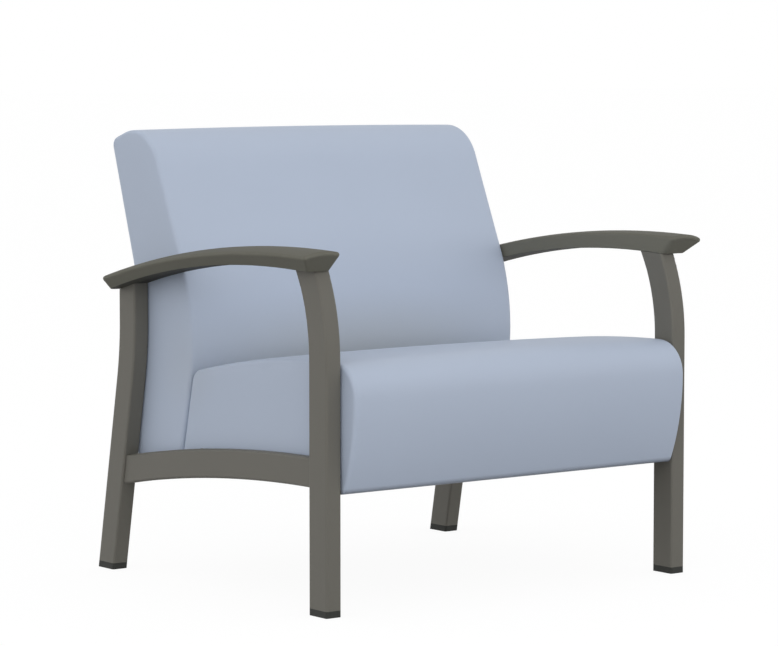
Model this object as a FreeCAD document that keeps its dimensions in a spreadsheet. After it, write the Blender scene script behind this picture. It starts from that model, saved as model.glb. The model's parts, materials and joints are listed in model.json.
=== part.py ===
"""Bariatric guest chair: tube side frames with capped arms, an upholstered seat and a reclined back.

Millimetres. +Z is up, the sitter faces -Y, "right" and "left" are the sitter's own sides (-X and +X).
The origin lies on the floor under the middle of the chair.
"""
import FreeCAD
import Part
import math
import operator
import os
import Sketcher
from types import SimpleNamespace
from FreeCAD import Rotation, Vector

# Driving dimensions, one cell each in the sheet: millimetres, degrees where the note says so
SIZES = {
    # Legs, rectangular tube
    "clear_width": 765.0,         # between the legs' inner faces
    "leg_width": 32.0,
    "leg_depth": 52.0,
    "leg_wall": 2.5,
    "leg_corner": 4.0,
    "front_leg_y": -319.3,        # centre line of the straight length
    "front_bend_z": 443.0,        # where the front leg starts to curve back
    "front_bend_radius": 342.0,
    "rear_leg_y": 278.5,          # centre line of the upright length
    "rear_knee_z": 416.0,         # where the two straight lengths of the rear leg would meet
    "rear_rake": 10.7,            # degrees, rear foot behind the upright length
    "rear_bend_radius": 600.0,
    "top_plate": 5.0,             # closing plate in the top of each leg
    "weld_fit": 0.1,              # clearance of a plate that is welded into a tube
    # Glides, plastic caps on the tube ends
    "glide_height": 12.0,
    "glide_spigot": 25.0,
    "glide_wall": 3.0,
    "glide_fit": 0.2,
    "glide_edge": 1.5,
    # Side rails, arched tube between the legs
    "rail_top_z": 273.0,          # at the crest of the arch
    "rail_crest_y": -297.8,
    "rail_radius": 3300.0,
    "rail_height": 52.5,
    "rail_thickness": 20.0,
    "rail_setback": 5.0,          # behind the legs' outer faces
    "rail_wall": 2.0,
    "rail_corner": 4.0,
    # Arm caps and their bars
    "arm_crest_y": -195.8,
    "arm_base_z": 599.3,          # underside at the crest of the arch
    "arm_radius": 1815.0,         # underside
    "arm_top_crest_y": -250.0,
    "arm_thickness": 34.6,        # from the crest of the underside to the crest of the top
    "arm_top_radius": 2140.0,
    "arm_top_width": 79.6,
    "arm_inner_overhang": 2.2,    # top edge past the legs' inner faces
    "arm_crest_reach": 31.5,      # top's highest line from its inner edge
    "arm_crown": 10.3,            # fall of the top from there to its outer edge
    "arm_inner_flare": 3.6,       # degrees from upright, undercut of the inner side
    "arm_outer_flare": 43.5,      # degrees from upright, undercut of the outer side
    "arm_front_overhang": 10.2,   # underside past the front leg
    "arm_rear_setback": 4.0,      # end face before the rear leg's rear face
    "arm_bevel": 46.0,            # degrees from upright, undercut of the front end
    "arm_edge_round": 4.5,        # round the top
    "arm_nose_round": 5.0,        # outer front corner
    "arm_inner_round": 10.0,      # inner front corner
    "arm_rear_round": 10.0,       # rear corners
    "arm_base_round": 2.0,
    "bar_width": 20.0,
    "bar_thickness": 6.0,
    "bar_end_margin": 9.0,        # arm cap left beyond each end of the bar
    "bar_fit": 0.2,
    "arm_screw_radius": 3.0,
    "arm_screw_head_radius": 5.8,
    "arm_screw_head_height": 3.2,
    "arm_screw_length": 22.0,
    "arm_screw_fit": 0.1,
    # Cross rails, tubes between the side rails
    "cross_depth": 50.0,
    "cross_height": 25.0,
    "cross_wall": 2.5,
    "cross_lift": 4.5,            # seat cross rails above the side rails' lowest line at the crest
    "front_cross_y": -250.0,
    "rear_cross_y": 60.0,
    # Cushions in common
    "cushion_gap": 3.5,           # to the legs on each side
    "cover_thickness": 1.5,
    "cover_edge_round": 7.0,
    "side_padding": 12.0,
    "cushion_crown": 4.0,         # rise of the middle over the sides
    "board": 18.0,                # plywood
    "dust_margin": 2.0,           # dust covers inside the upholstery
    "webbing_width": 50.0,
    "webbing_thickness": 2.0,
    # Seat
    "nose_y": -320.6,             # centre of the rounded front edge, at the sides
    "nose_z": 377.3,
    "nose_radius": 61.0,
    "seat_top_radius": 1960.0,
    "seat_front_radius": 423.0,
    "seat_rear_round": 28.0,
    "seat_hem_round": 12.0,
    "seat_skirt_z": 211.0,        # lowest line of the front
    "front_padding": 10.0,        # before the front board at its foot
    "rear_padding": 8.0,          # behind the rear board at its top
    "box_height": 95.0,
    "seat_back_gap": 5.0,
    "block_length": 60.0,
    "block_height": 45.0,
    # Back
    "back_rear_y": 301.5,         # rear face of the upright part
    "back_knee_z": 544.0,
    "back_knee_radius": 300.0,
    "back_recline": 17.5,         # degrees, rear face
    "head_y": 312.4,              # centre of the rounded front top edge, at the sides
    "head_z": 732.3,
    "head_radius": 92.0,
    "top_slope": 18.0,            # degrees, top face falling to the rear
    "top_corner": 16.0,
    "lumbar_y": 117.2,            # foremost line of the front face, at the sides
    "lumbar_z": 430.0,
    "lumbar_radius": 400.0,
    "waist_radius": 286.0,
    "waist_lean": 12.7,           # degrees, front face below the lumbar
    "back_clearance": 0.3,        # between the back and the rail that it stands on
    "front_foam": 48.0,
    "rear_wadding": 6.0,
    "rear_panel": 4.0,
    "post_depth": 30.0,
    "post_width": 40.0,
    "post_wall": 2.5,
    "post_inset": 125.5,          # centre line inside the back's frame
    "post_reach": 95.0,           # straight length above the bend
    "post_gap": 9.0,              # to the rear panel, room for the bolt heads
    "back_rail_height": 80.0,
    "back_bolt_spacing": 40.0,
    # Bolts, washers and tee nuts
    "bolt_radius": 4.0,
    "bolt_fit": 0.3,
    "bolt_head_radius": 6.5,
    "bolt_head_height": 5.3,
    "washer_radius": 10.0,
    "washer_thickness": 1.6,
    "tee_nut_radius": 11.0,
    "tee_nut_thickness": 1.5,
    "tee_nut_barrel_radius": 5.5,
    "tee_nut_barrel_length": 10.0,
}
SIDES = {"right": -1, "left": 1}
ARM_SCREWS = 3
SEAT_RIM_CORNERS = 6
BACK_RIM_CORNERS = 9
SEAT_STRAPS_LONG = 7
SEAT_STRAPS_ACROSS = 4
UPPER_BACK_STRAPS = 3
LOWER_BACK_STRAPS = 2
OVERRUN = 5.0                     # how far a cutting shape runs past what it cuts

doc = FreeCAD.newDocument("guest_chair")
sheet = doc.addObject("Spreadsheet::Sheet", "sizes")
for row, (alias, size) in enumerate(SIZES.items(), start=1):
    sheet.set(f"A{row}", alias)
    sheet.set(f"B{row}", str(size))
    sheet.setAlias(f"B{row}", alias)
doc.recompute()

SIGNS = {"+": operator.add, "-": operator.sub, "*": operator.mul, "/": operator.truediv}


class Size:
    """A number, and the expression on the sheet's cells that gives it."""

    def __init__(self, number, text):
        self.number = number
        self.text = text

    def __add__(self, other):
        return joined(self, "+", other)

    def __radd__(self, other):
        return joined(other, "+", self)

    def __sub__(self, other):
        return joined(self, "-", other)

    def __rsub__(self, other):
        return joined(other, "-", self)

    def __mul__(self, other):
        return joined(self, "*", other)

    def __rmul__(self, other):
        return joined(other, "*", self)

    def __truediv__(self, other):
        return joined(self, "/", other)

    def __rtruediv__(self, other):
        return joined(other, "/", self)

    def __neg__(self):
        return joined(-1, "*", self)


def as_size(value):
    """Take a plain number as a size of its own."""
    return value if isinstance(value, Size) else Size(float(value), repr(value))


def joined(first, sign, second):
    """Work out two sizes' sum, difference, product or ratio, and note it as an expression."""
    first, second = as_size(first), as_size(second)
    return Size(SIGNS[sign](first.number, second.number), f"({first.text} {sign} {second.text})")


def root(value):
    return Size(math.sqrt(value.number), f"sqrt({value.text})")


def sine(angle):
    return Size(math.sin(math.radians(angle.number)), f"sin({angle.text})")


def cosine(angle):
    return Size(math.cos(math.radians(angle.number)), f"cos({angle.text})")


def tangent(angle):
    return Size(math.tan(math.radians(angle.number)), f"tan({angle.text})")


def arcsine(value):
    return Size(math.degrees(math.asin(value.number)), f"(asin({value.text}) / 1deg)")


def arccosine(value):
    return Size(math.degrees(math.acos(value.number)), f"(acos({value.text}) / 1deg)")


def arctangent(value):
    return Size(math.degrees(math.atan(value.number)), f"(atan({value.text}) / 1deg)")


dim = SimpleNamespace(**{alias: Size(sheet.get(alias), f"sizes.{alias}") for alias in SIZES})

# Places that several pieces share
leg_inner_x = dim.clear_width / 2
leg_outer_x = leg_inner_x + dim.leg_width
rail_outer_x = leg_outer_x - dim.rail_setback
rail_inner_x = rail_outer_x - dim.rail_thickness
bar_x = leg_inner_x + dim.leg_width / 2
arm_axis_z = dim.arm_base_z - dim.arm_radius
rail_axis_z = dim.rail_top_z - dim.rail_radius
front_bend_y = dim.front_leg_y + dim.front_bend_radius
cross_z = dim.rail_top_z - dim.rail_height + dim.cross_lift
cross_top_z = cross_z + dim.cross_height
cushion_half = leg_inner_x - dim.cushion_gap
box_half = cushion_half - dim.cover_thickness - dim.side_padding
box_top_z = cross_z + dim.box_height
skirt_board_z = dim.seat_skirt_z + dim.cover_thickness
post_x = box_half - dim.post_inset
post_y = (dim.back_rear_y - dim.cover_thickness - dim.rear_wadding - dim.rear_panel - dim.post_gap
          - dim.post_depth / 2)
knee_centre_y = dim.back_rear_y + dim.back_knee_radius
knee_centre_z = dim.back_knee_z - dim.back_knee_radius * tangent(dim.back_recline / 2)
panel_inset = dim.cover_thickness + dim.rear_wadding
frame_inset = panel_inset + dim.rear_panel
foam_inset = dim.cover_thickness + dim.front_foam
waist_centre_y = dim.lumbar_y + dim.waist_radius

subparts = []


def keep(shape, label):
    """Name a finished sub-part and list it for export."""
    shape.Label = label
    subparts.append(shape)
    return shape


class Arc:
    """The arc that leads on from a corner: its centre, its radius, and which of them it is tied by."""

    def __init__(self, centre, radius, tie):
        self.centre = (as_size(centre[0]), as_size(centre[1]))
        self.radius = as_size(radius)
        self.tie = tie

    def middle(self):
        return Vector(self.centre[0].number, self.centre[1].number, 0)


class Corner:
    """A point of an outline, tied to the sheet unless the curves that meet there place it."""

    def __init__(self, across, up, arc=None, tied=True):
        self.across = as_size(across)
        self.up = as_size(up)
        self.arc = arc
        self.tied = tied

    def point(self):
        return Vector(self.across.number, self.up.number, 0)


def arc_between(start, end, middle):
    """The shorter arc about a centre, stored anticlockwise, and whether that turns it round."""
    first = math.atan2(start.y - middle.y, start.x - middle.x)
    last = math.atan2(end.y - middle.y, end.x - middle.x)
    turned = math.sin(last - first) < 0
    circle = Part.Circle(middle, Vector(0, 0, 1), (start - middle).Length)
    return Part.ArcOfCircle(circle, *((last, first) if turned else (first, last))), turned


def tie_down(sketch, rule, size):
    """Add a dimension to a sketch and bind it to the sheet."""
    index = sketch.addConstraint(rule)
    if "sizes." in size.text:
        sketch.setExpression(f"Constraints[{index}]", size.text)


def tie_point(sketch, geometry, position, across, up):
    for kind, size in (("DistanceX", across), ("DistanceY", up)):
        tie_down(sketch, Sketcher.Constraint(kind, -1, 1, geometry, position, size.number), size)


def draw(sketch, corners):
    """Draw a closed loop of lines and arcs through the corners and tie it to the sheet."""
    ends = []
    for corner, following in zip(corners, corners[1:] + corners[:1]):
        start, end = corner.point(), following.point()
        turned = False
        curve = Part.LineSegment(start, end)
        if corner.arc:
            curve, turned = arc_between(start, end, corner.arc.middle())
        index = sketch.addGeometry(curve, False)
        ends.append((index, 2, 1) if turned else (index, 1, 2))
    for (index, _, last), (following, first, _) in zip(ends, ends[1:] + ends[:1]):
        sketch.addConstraint(Sketcher.Constraint("Coincident", index, last, following, first))
    for corner, (index, first, _) in zip(corners, ends):
        if corner.tied:
            tie_point(sketch, index, first, corner.across, corner.up)
        if corner.arc and "centre" in corner.arc.tie:
            tie_point(sketch, index, 3, *corner.arc.centre)
        if corner.arc and "radius" in corner.arc.tie:
            radius = corner.arc.radius
            tie_down(sketch, Sketcher.Constraint("Radius", index, radius.number), radius)


def rectangle(low, high):
    """Corners of an upright rectangle."""
    return [Corner(low[0], low[1]), Corner(high[0], low[1]), Corner(high[0], high[1]),
            Corner(low[0], high[1])]


def rounded_rectangle(centre, width, depth, radius):
    """Corners of a rectangle whose four corners are quarter circles."""
    corners = []
    for right, top, starts_on_side in ((1, -1, False), (1, 1, True), (-1, 1, False), (-1, -1, True)):
        outer_x, outer_y = centre[0] + right * width / 2, centre[1] + top * depth / 2
        inner_x, inner_y = outer_x - right * radius, outer_y - top * radius
        arc = Arc((inner_x, inner_y), radius, "radius")
        ends = [(inner_x, outer_y), (outer_x, inner_y)]
        if starts_on_side:
            ends.reverse()
        corners += [Corner(*ends[0], arc), Corner(*ends[1])]
    return corners


def circle_meeting(first, first_radius, second, second_radius, near):
    """The point nearest to a given one where two circles meet, to start a sketch from."""
    gap = second - first
    along = (first_radius ** 2 - second_radius ** 2 + gap.Length ** 2) / (2 * gap.Length)
    aside = math.sqrt(first_radius ** 2 - along ** 2)
    unit = gap / gap.Length
    foot = first + unit * along
    across = Vector(-unit.y, unit.x, 0) * aside
    return min((foot + across, foot - across), key=lambda point: (point - near).Length)


def new_body(name):
    return doc.addObject("PartDesign::Body", name)


def new_sketch(body, name, plane, offset=None):
    """A sketch on one of the body's own origin planes, moved along the plane's normal."""
    sketch = body.newObject("Sketcher::SketchObject", name)
    support = next(feature for feature in body.Origin.OriginFeatures if feature.Role == plane)
    sketch.AttachmentSupport = [(support, "")]
    sketch.MapMode = "FlatFace"
    if offset is not None:
        sketch.setExpression("AttachmentOffset.Base.z", as_size(offset).text)
    return sketch


def pad(body, name, sketch, length):
    feature = body.newObject("PartDesign::Pad", name)
    feature.Profile = sketch
    feature.setExpression("Length", as_size(length).text)
    return feature


def pocket(body, name, sketch, length=None):
    """Cut along the sketch's normal for a length, or both ways through everything."""
    feature = body.newObject("PartDesign::Pocket", name)
    feature.Profile = sketch
    if length is None:
        feature.Midplane = True
        feature.Type = "ThroughAll"
    else:
        feature.setExpression("Length", as_size(length).text)
        feature.Reversed = True
    return feature


def fillet(body, name, base, chosen, radius):
    """Round the edges of a feature that the test picks."""
    doc.recompute()
    edges = [f"Edge{i}" for i, edge in enumerate(base.Shape.Edges, start=1) if chosen(edge)]
    feature = body.newObject("PartDesign::Fillet", name)
    feature.Base = (base, edges)
    feature.setExpression("Radius", radius.text)
    doc.recompute()
    return feature


def slab(name, start_x, thickness, *loops):
    """A body padded along +X from loops drawn in the YZ plane."""
    body = new_body(name)
    sketch = new_sketch(body, name + "_outline", "YZ_Plane", start_x)
    for loop in loops:
        draw(sketch, loop)
    return body, pad(body, name + "_pad", sketch, thickness)


def bind(thing, **places):
    """Bind properties of a primitive to the sheet: size names, or x, y, z for its place."""
    for name, value in places.items():
        path = f"Placement.Base.{name}" if name in ("x", "y", "z") else name
        size = as_size(value)
        if "sizes." in size.text:
            thing.setExpression(path, size.text)
        elif name in ("x", "y", "z"):
            setattr(thing.Placement.Base, name, size.number)
        else:
            setattr(thing, name, size.number)
    return thing


def box(name, low, high):
    """A Part box between two corners."""
    sizes = [as_size(top) - as_size(bottom) for bottom, top in zip(low, high)]
    return bind(doc.addObject("Part::Box", name), x=low[0], y=low[1], z=low[2],
                Length=sizes[0], Width=sizes[1], Height=sizes[2])


def turned(thing, angle):
    """Turn a primitive about X, by a size in degrees, at its own place."""
    thing.Placement.Rotation = Rotation(Vector(1, 0, 0), as_size(angle).number)
    thing.setExpression("Placement.Rotation.Axis.x", "1")
    thing.setExpression("Placement.Rotation.Axis.y", "0")
    thing.setExpression("Placement.Rotation.Axis.z", "0")
    thing.setExpression("Placement.Rotation.Angle", as_size(angle).text)
    return thing


def fused(name, *things):
    fuse = doc.addObject("Part::MultiFuse", name)
    fuse.Shapes = list(things)
    return fuse


def cut(name, base, tool):
    result = doc.addObject("Part::Cut", name)
    result.Base = base
    result.Tool = tool
    return result


def group(name, things):
    """Separate solids that share one node."""
    compound = doc.addObject("Part::Compound", name)
    compound.Links = list(things)
    return compound


# Legs

def in_side_face(edge):
    """An edge that lies in a face square to X and runs up rather than along."""
    bounds = edge.BoundBox
    return bounds.XLength < 0.01 and bounds.ZLength > bounds.YLength


def side_start(side, inner, thickness):
    """Lowest X of a piece whose inner face stands at a given distance from the middle."""
    return inner if side > 0 else -(inner + thickness)


def front_leg_corners(inset, foot_z, crest):
    """Side view of the front leg between its foot and an arc about the arm's axis."""
    front = dim.front_leg_y - dim.leg_depth / 2 + inset
    rear = dim.front_leg_y + dim.leg_depth / 2 - inset
    bend = (front_bend_y, dim.front_bend_z)
    arm_axis = (dim.arm_crest_y, arm_axis_z)
    tops = []
    for face in (front, rear):
        radius = front_bend_y - face
        centre = Vector(bend[0].number, bend[1].number, 0)
        above = Vector(face.number, dim.arm_base_z.number, 0)
        axis = Vector(arm_axis[0].number, arm_axis[1].number, 0)
        tops.append(circle_meeting(centre, radius.number, axis, crest.number, above))
    front_top, rear_top = tops
    return [
        Corner(front, foot_z),
        Corner(front, dim.front_bend_z, Arc(bend, front_bend_y - front, "centre")),
        Corner(front_top.x, front_top.y, Arc(arm_axis, crest, "centre radius"), tied=False),
        Corner(rear_top.x, rear_top.y, Arc(bend, front_bend_y - rear, "centre"), tied=False),
        Corner(rear, dim.front_bend_z),
        Corner(rear, foot_z),
    ]


def arm_arc_z(crest, y):
    """Height of an arc about the arm's axis."""
    return arm_axis_z + root(crest * crest - (y - dim.arm_crest_y) * (y - dim.arm_crest_y))


def rear_leg_face(reach):
    """Bend, tangent points and lower line of the rear leg's face at a distance before its centre line."""
    centre_y = dim.rear_leg_y + dim.rear_bend_radius
    centre_z = dim.rear_knee_z + dim.rear_bend_radius * tangent(dim.rear_rake / 2)
    radius = dim.rear_bend_radius + reach
    low_y = centre_y - radius * cosine(dim.rear_rake)
    low_z = centre_z - radius * sine(dim.rear_rake)
    return SimpleNamespace(centre=(centre_y, centre_z), radius=radius, low=(low_y, low_z),
                           high=(centre_y - radius, centre_z),
                           at=lambda z: low_y + (low_z - z) * tangent(dim.rear_rake))


def rear_leg_corners(inset, foot_z, crest):
    """Side view of the rear leg between its foot and an arc about the arm's axis."""
    half = dim.leg_depth / 2 - inset
    front, rear = rear_leg_face(half), rear_leg_face(-half)
    arm_axis = (dim.arm_crest_y, arm_axis_z)
    return [
        Corner(front.at(foot_z), foot_z),
        Corner(*front.low, Arc(front.centre, front.radius, "radius")),
        Corner(*front.high),
        Corner(front.high[0], arm_arc_z(crest, front.high[0]), Arc(arm_axis, crest, "radius")),
        Corner(rear.high[0], arm_arc_z(crest, rear.high[0])),
        Corner(*rear.high, Arc(rear.centre, rear.radius, "radius")),
        Corner(*rear.low),
        Corner(rear.at(foot_z), foot_z),
    ]


def leg(name, side, corners):
    """A hollow leg that ends on its glide and under the arm."""
    body, tube = slab(name, side_start(side, leg_inner_x, dim.leg_width), dim.leg_width,
                      corners(as_size(0), dim.glide_height, dim.arm_radius))
    rounded = fillet(body, name + "_corners", tube, in_side_face, dim.leg_corner)
    bore_x = side_start(side, leg_inner_x + dim.leg_wall, dim.leg_width - 2 * dim.leg_wall)
    bore = new_sketch(body, name + "_bore_outline", "YZ_Plane", bore_x)
    draw(bore, corners(dim.leg_wall, dim.glide_height - OVERRUN, dim.arm_radius + OVERRUN))
    pocket(body, name + "_bore", bore, dim.leg_width - 2 * dim.leg_wall)
    doc.recompute()
    if body.Shape.Volume > 0.6 * rounded.Shape.Volume:
        raise RuntimeError(f"{name}: the bore has cut nothing")
    return keep(body, name)


def top_plate(name, side, corners):
    """The plate welded into a leg's top, between two arcs about the arm's axis."""
    inset = dim.leg_wall + dim.weld_fit
    width = dim.leg_width - 2 * inset
    body, _ = slab(name, side_start(side, leg_inner_x + inset, width), width, corners(inset))
    return body


def front_plate_corners(inset):
    upper = front_leg_corners(inset, dim.glide_height, dim.arm_radius)
    lower = front_leg_corners(inset, dim.glide_height, dim.arm_radius - dim.top_plate)
    bend = (front_bend_y, dim.front_bend_z)
    front_radius = dim.front_bend_radius + dim.leg_depth / 2 - inset
    rear_radius = dim.front_bend_radius - dim.leg_depth / 2 + inset
    upper_front, upper_rear, lower_rear, lower_front = upper[2], upper[3], lower[3], lower[2]
    upper_rear.arc = Arc(bend, rear_radius, "centre radius")
    lower_rear.arc = lower_front.arc
    lower_front.arc = Arc(bend, front_radius, "centre radius")
    return [upper_front, upper_rear, lower_rear, lower_front]


def rear_plate_corners(inset):
    upper = rear_leg_corners(inset, dim.glide_height, dim.arm_radius)
    lower = rear_leg_corners(inset, dim.glide_height, dim.arm_radius - dim.top_plate)
    upper_front, upper_rear, lower_rear, lower_front = upper[3], upper[4], lower[4], lower[3]
    lower_rear.arc = lower_front.arc
    lower_front.arc = None
    return [upper_front, upper_rear, lower_rear, lower_front]


LEG_SHAPES = {
    "front": (front_leg_corners, front_plate_corners),
    "rear": (rear_leg_corners, rear_plate_corners),
}
plates = []
for end, (leg_corners, plate_corners) in LEG_SHAPES.items():
    for hand, side in SIDES.items():
        leg(f"{end}_leg_{hand}", side, leg_corners)
        plates.append(top_plate(f"{end}_top_plate_{hand}", side, plate_corners))
keep(group("leg_top_plates", plates), "leg_top_plates")


# Glides

def glide(name, side, y_at, rake):
    """A cap under the tube and a hollow spigot inside it, both in line with the leg."""
    body = new_body(name)
    x = side * (leg_inner_x + dim.leg_width / 2)
    depth = dim.leg_depth / cosine(rake)
    shrink = 2 * (dim.leg_wall + dim.glide_fit)
    steps = (
        ("cap", as_size(0), (dim.leg_width, depth, dim.leg_corner), dim.glide_height),
        ("spigot", dim.glide_height, (dim.leg_width - shrink, depth - shrink, dim.glide_edge),
         dim.glide_spigot),
    )
    for step, z, (width, length, radius), height in steps:
        sketch = new_sketch(body, f"{name}_{step}_outline", "XY_Plane", z)
        draw(sketch, rounded_rectangle((x, y_at(z)), width, length, radius))
        lean(pad(body, f"{name}_{step}", sketch, height), rake)
    hollow_z = dim.glide_height
    hollow = shrink + 2 * dim.glide_wall
    sketch = new_sketch(body, f"{name}_hollow_outline", "XY_Plane", hollow_z)
    half_width, half_depth = (dim.leg_width - hollow) / 2, (depth - hollow) / 2
    middle = y_at(hollow_z)
    draw(sketch, rectangle((x - half_width, middle - half_depth), (x + half_width, middle + half_depth)))
    solid = body.Tip
    lean(pocket(body, f"{name}_hollow", sketch, dim.glide_spigot), rake)
    doc.recompute()
    if body.Shape.Volume > 0.95 * solid.Shape.Volume:
        raise RuntimeError(f"{name}: the spigot is not hollow")
    return keep(body, name)


def lean(feature, rake):
    """Extrude along the leg, with the length still measured upwards."""
    feature.UseCustomVector = True
    feature.AlongSketchNormal = True
    feature.Direction = Vector(0, -math.tan(math.radians(rake.number)), 1)
    if "sizes." in rake.text:
        feature.setExpression("Direction.y", f"-tan({rake.text})")
    return feature


def front_foot_y(z):
    return dim.front_leg_y


def rear_foot_y(z):
    return rear_leg_face(as_size(0)).at(z)


for hand, side in SIDES.items():
    glide(f"glide_front_{hand}", side, front_foot_y, as_size(0))
    glide(f"glide_rear_{hand}", side, rear_foot_y, dim.rear_rake)


# Side rails

def rail_arc_z(radius, y):
    """Height of an arc about the side rail's axis."""
    return rail_axis_z + root(radius * radius - (y - dim.rail_crest_y) * (y - dim.rail_crest_y))


def rail_on_leg_z(radius, overrun):
    """Height where an arc about the side rail's axis meets the rear leg's sloping front face."""
    slope = tangent(dim.rear_rake)
    floor_y = rear_leg_face(dim.leg_depth / 2).at(as_size(0)) + overrun
    reach = floor_y - dim.rail_crest_y
    linear = slope * reach + rail_axis_z
    square = 1 + slope * slope
    constant = reach * reach + rail_axis_z * rail_axis_z - radius * radius
    return (linear + root(linear * linear - square * constant)) / square


def rail_corners(inset, overrun):
    """Side view of the side rail between the legs."""
    front = dim.front_leg_y + dim.leg_depth / 2 - overrun
    upper, lower = dim.rail_radius - inset, dim.rail_radius - dim.rail_height + inset
    axis = (dim.rail_crest_y, rail_axis_z)
    slope = tangent(dim.rear_rake)
    floor_y = rear_leg_face(dim.leg_depth / 2).at(as_size(0)) + overrun
    upper_z, lower_z = rail_on_leg_z(upper, overrun), rail_on_leg_z(lower, overrun)
    return [
        Corner(front, rail_arc_z(lower, front)),
        Corner(front, rail_arc_z(upper, front), Arc(axis, upper, "radius")),
        Corner(floor_y - upper_z * slope, upper_z),
        Corner(floor_y - lower_z * slope, lower_z, Arc(axis, lower, "radius")),
    ]


def along_side_face(edge):
    """A long edge of the side rail: an arc in a face square to X."""
    return edge.BoundBox.XLength < 0.01 and isinstance(edge.Curve, Part.Circle)


def side_rail(name, side):
    body, tube = slab(name, side_start(side, rail_inner_x, dim.rail_thickness), dim.rail_thickness,
                      rail_corners(as_size(0), 0))
    rounded = fillet(body, name + "_corners", tube, along_side_face, dim.rail_corner)
    bore_width = dim.rail_thickness - 2 * dim.rail_wall
    bore = new_sketch(body, name + "_bore_outline", "YZ_Plane",
                      side_start(side, rail_inner_x + dim.rail_wall, bore_width))
    draw(bore, rail_corners(dim.rail_wall, OVERRUN))
    pocket(body, name + "_bore", bore, bore_width)
    doc.recompute()
    if body.Shape.Volume > 0.6 * rounded.Shape.Volume:
        raise RuntimeError(f"{name}: the bore has cut nothing")
    return keep(body, name)


for hand, side in SIDES.items():
    side_rail(f"side_rail_{hand}", side)


# Arms

front_face_radius = dim.front_bend_radius + dim.leg_depth / 2
front_leg_rise = dim.arm_base_z - dim.front_bend_z
front_leg_reach = root(front_face_radius * front_face_radius - front_leg_rise * front_leg_rise)
arm_front_y = front_bend_y - front_leg_reach - dim.arm_front_overhang
arm_rear_y = dim.rear_leg_y + dim.leg_depth / 2 - dim.arm_rear_setback
arm_bevel_run = tangent(dim.arm_bevel)


def arm_angle(y):
    """Angle about the arm's axis, from the crest towards the rear, of a point of the underside."""
    return arcsine((y - dim.arm_crest_y) / dim.arm_radius)


def arm_top_angle(y):
    """The same about the axis of the arm's top."""
    return arcsine((y - dim.arm_top_crest_y) / dim.arm_top_radius)


arm_depth = dim.arm_thickness
arm_top_z = dim.arm_base_z + arm_depth
arm_top_axis_z = arm_top_z - dim.arm_top_radius
arm_front_end = arm_top_angle(arm_front_y - 2 * arm_depth)
arm_rear_end = arm_top_angle(arm_rear_y + arm_depth)
bar_front_end = arm_angle(arm_front_y + dim.bar_end_margin)
bar_rear_end = arm_angle(arm_rear_y - dim.bar_end_margin)


def swept(kind, body, name, loop, axis, ends):
    """Turn a loop, drawn where an arch has its crest, about the arch's axis between two angles."""
    crest_y, axis_z = axis
    sketch = new_sketch(body, name + "_outline", "XZ_Plane", -crest_y)
    draw(sketch, loop)
    ends_of_line = [(as_size(0), axis_z), (leg_inner_x, axis_z)]
    points = [Vector(across.number, up.number, 0) for across, up in ends_of_line]
    line = sketch.addGeometry(Part.LineSegment(*points), True)
    for position, (across, up) in enumerate(ends_of_line, start=1):
        tie_point(sketch, line, position, across, up)
    feature = body.newObject(kind, name)
    feature.Profile = sketch
    feature.ReferenceAxis = (sketch, ["Axis0"])
    feature.Type = "TwoAngles"
    feature.setExpression("Angle", (-ends[0]).text)
    feature.setExpression("Angle2", ends[1].text)
    return feature


UNDERSIDE_AXIS = (dim.arm_crest_y, arm_axis_z)
TOP_AXIS = (dim.arm_top_crest_y, arm_top_axis_z)


def arm_section(side):
    """Front view of the arm cap at its crest, deeper than the cap: undercut sides, top falling outwards."""
    inner = leg_inner_x - dim.arm_inner_overhang
    outer = inner + dim.arm_top_width
    reach = dim.arm_crest_reach
    fall = dim.arm_top_width - reach
    crown = (fall * fall + dim.arm_crown * dim.arm_crown) / (2 * dim.arm_crown)
    centre = (side * (inner + reach), arm_top_z - crown)
    inner_top = centre[1] + root(crown * crown - reach * reach)
    outer_top = arm_top_z - dim.arm_crown
    low = outer_top - 1.5 * arm_depth
    return [
        Corner(side * (inner + (inner_top - low) * tangent(dim.arm_inner_flare)), low),
        Corner(side * (outer - (outer_top - low) * tangent(dim.arm_outer_flare)), low),
        Corner(side * outer, outer_top, Arc(centre, crown, "radius")),
        Corner(side * inner, inner_top),
    ]


def bar_section(side, room):
    """Front view of the bar, or with room around it, of its seat in the arm cap."""
    inner, outer = bar_x - dim.bar_width / 2 - room, bar_x + dim.bar_width / 2 + room
    low = dim.arm_base_z - (OVERRUN if room.number else 0)
    high = dim.arm_base_z + dim.bar_thickness + room
    return rectangle((side * inner, low), (side * outer, high))


def arm_end_loops():
    """Side view of what is cut off the ends: a slope under the front and a square rear."""
    low, high = dim.arm_base_z - 4 * arm_depth, dim.arm_base_z + 3 * arm_depth
    crest_low = dim.arm_base_z - arm_depth
    front_low = arm_front_y + arm_depth * arm_bevel_run
    front_high = arm_front_y - 3 * arm_depth * arm_bevel_run
    far_front, far_rear = front_high - 4 * arm_depth, arm_rear_y + 4 * arm_depth
    front_loop = [Corner(far_front, crest_low), Corner(front_low, crest_low), Corner(front_high, high),
                  Corner(far_front, high)]
    return [front_loop, rectangle((arm_rear_y, low), (far_rear, high))]


def underside_loop():
    """Side view of what is cut off below: all that lies under the arch of the underside."""
    front, rear = arm_front_y - 4 * arm_depth, arm_rear_y + 2 * arm_depth
    low = dim.arm_base_z - 6 * arm_depth
    return [Corner(rear, arm_arc_z(dim.arm_radius, rear), Arc(UNDERSIDE_AXIS, dim.arm_radius, "radius")),
            Corner(front, arm_arc_z(dim.arm_radius, front)), Corner(front, low), Corner(rear, low)]


def underside_of(shape):
    """The arm cap's underside, its largest cylindrical face."""
    return max((face for face in shape.Faces if isinstance(face.Surface, Part.Cylinder)),
               key=lambda face: face.Area)


def borders(face, edge):
    return any(edge.isSame(other) for other in face.Edges)


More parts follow.
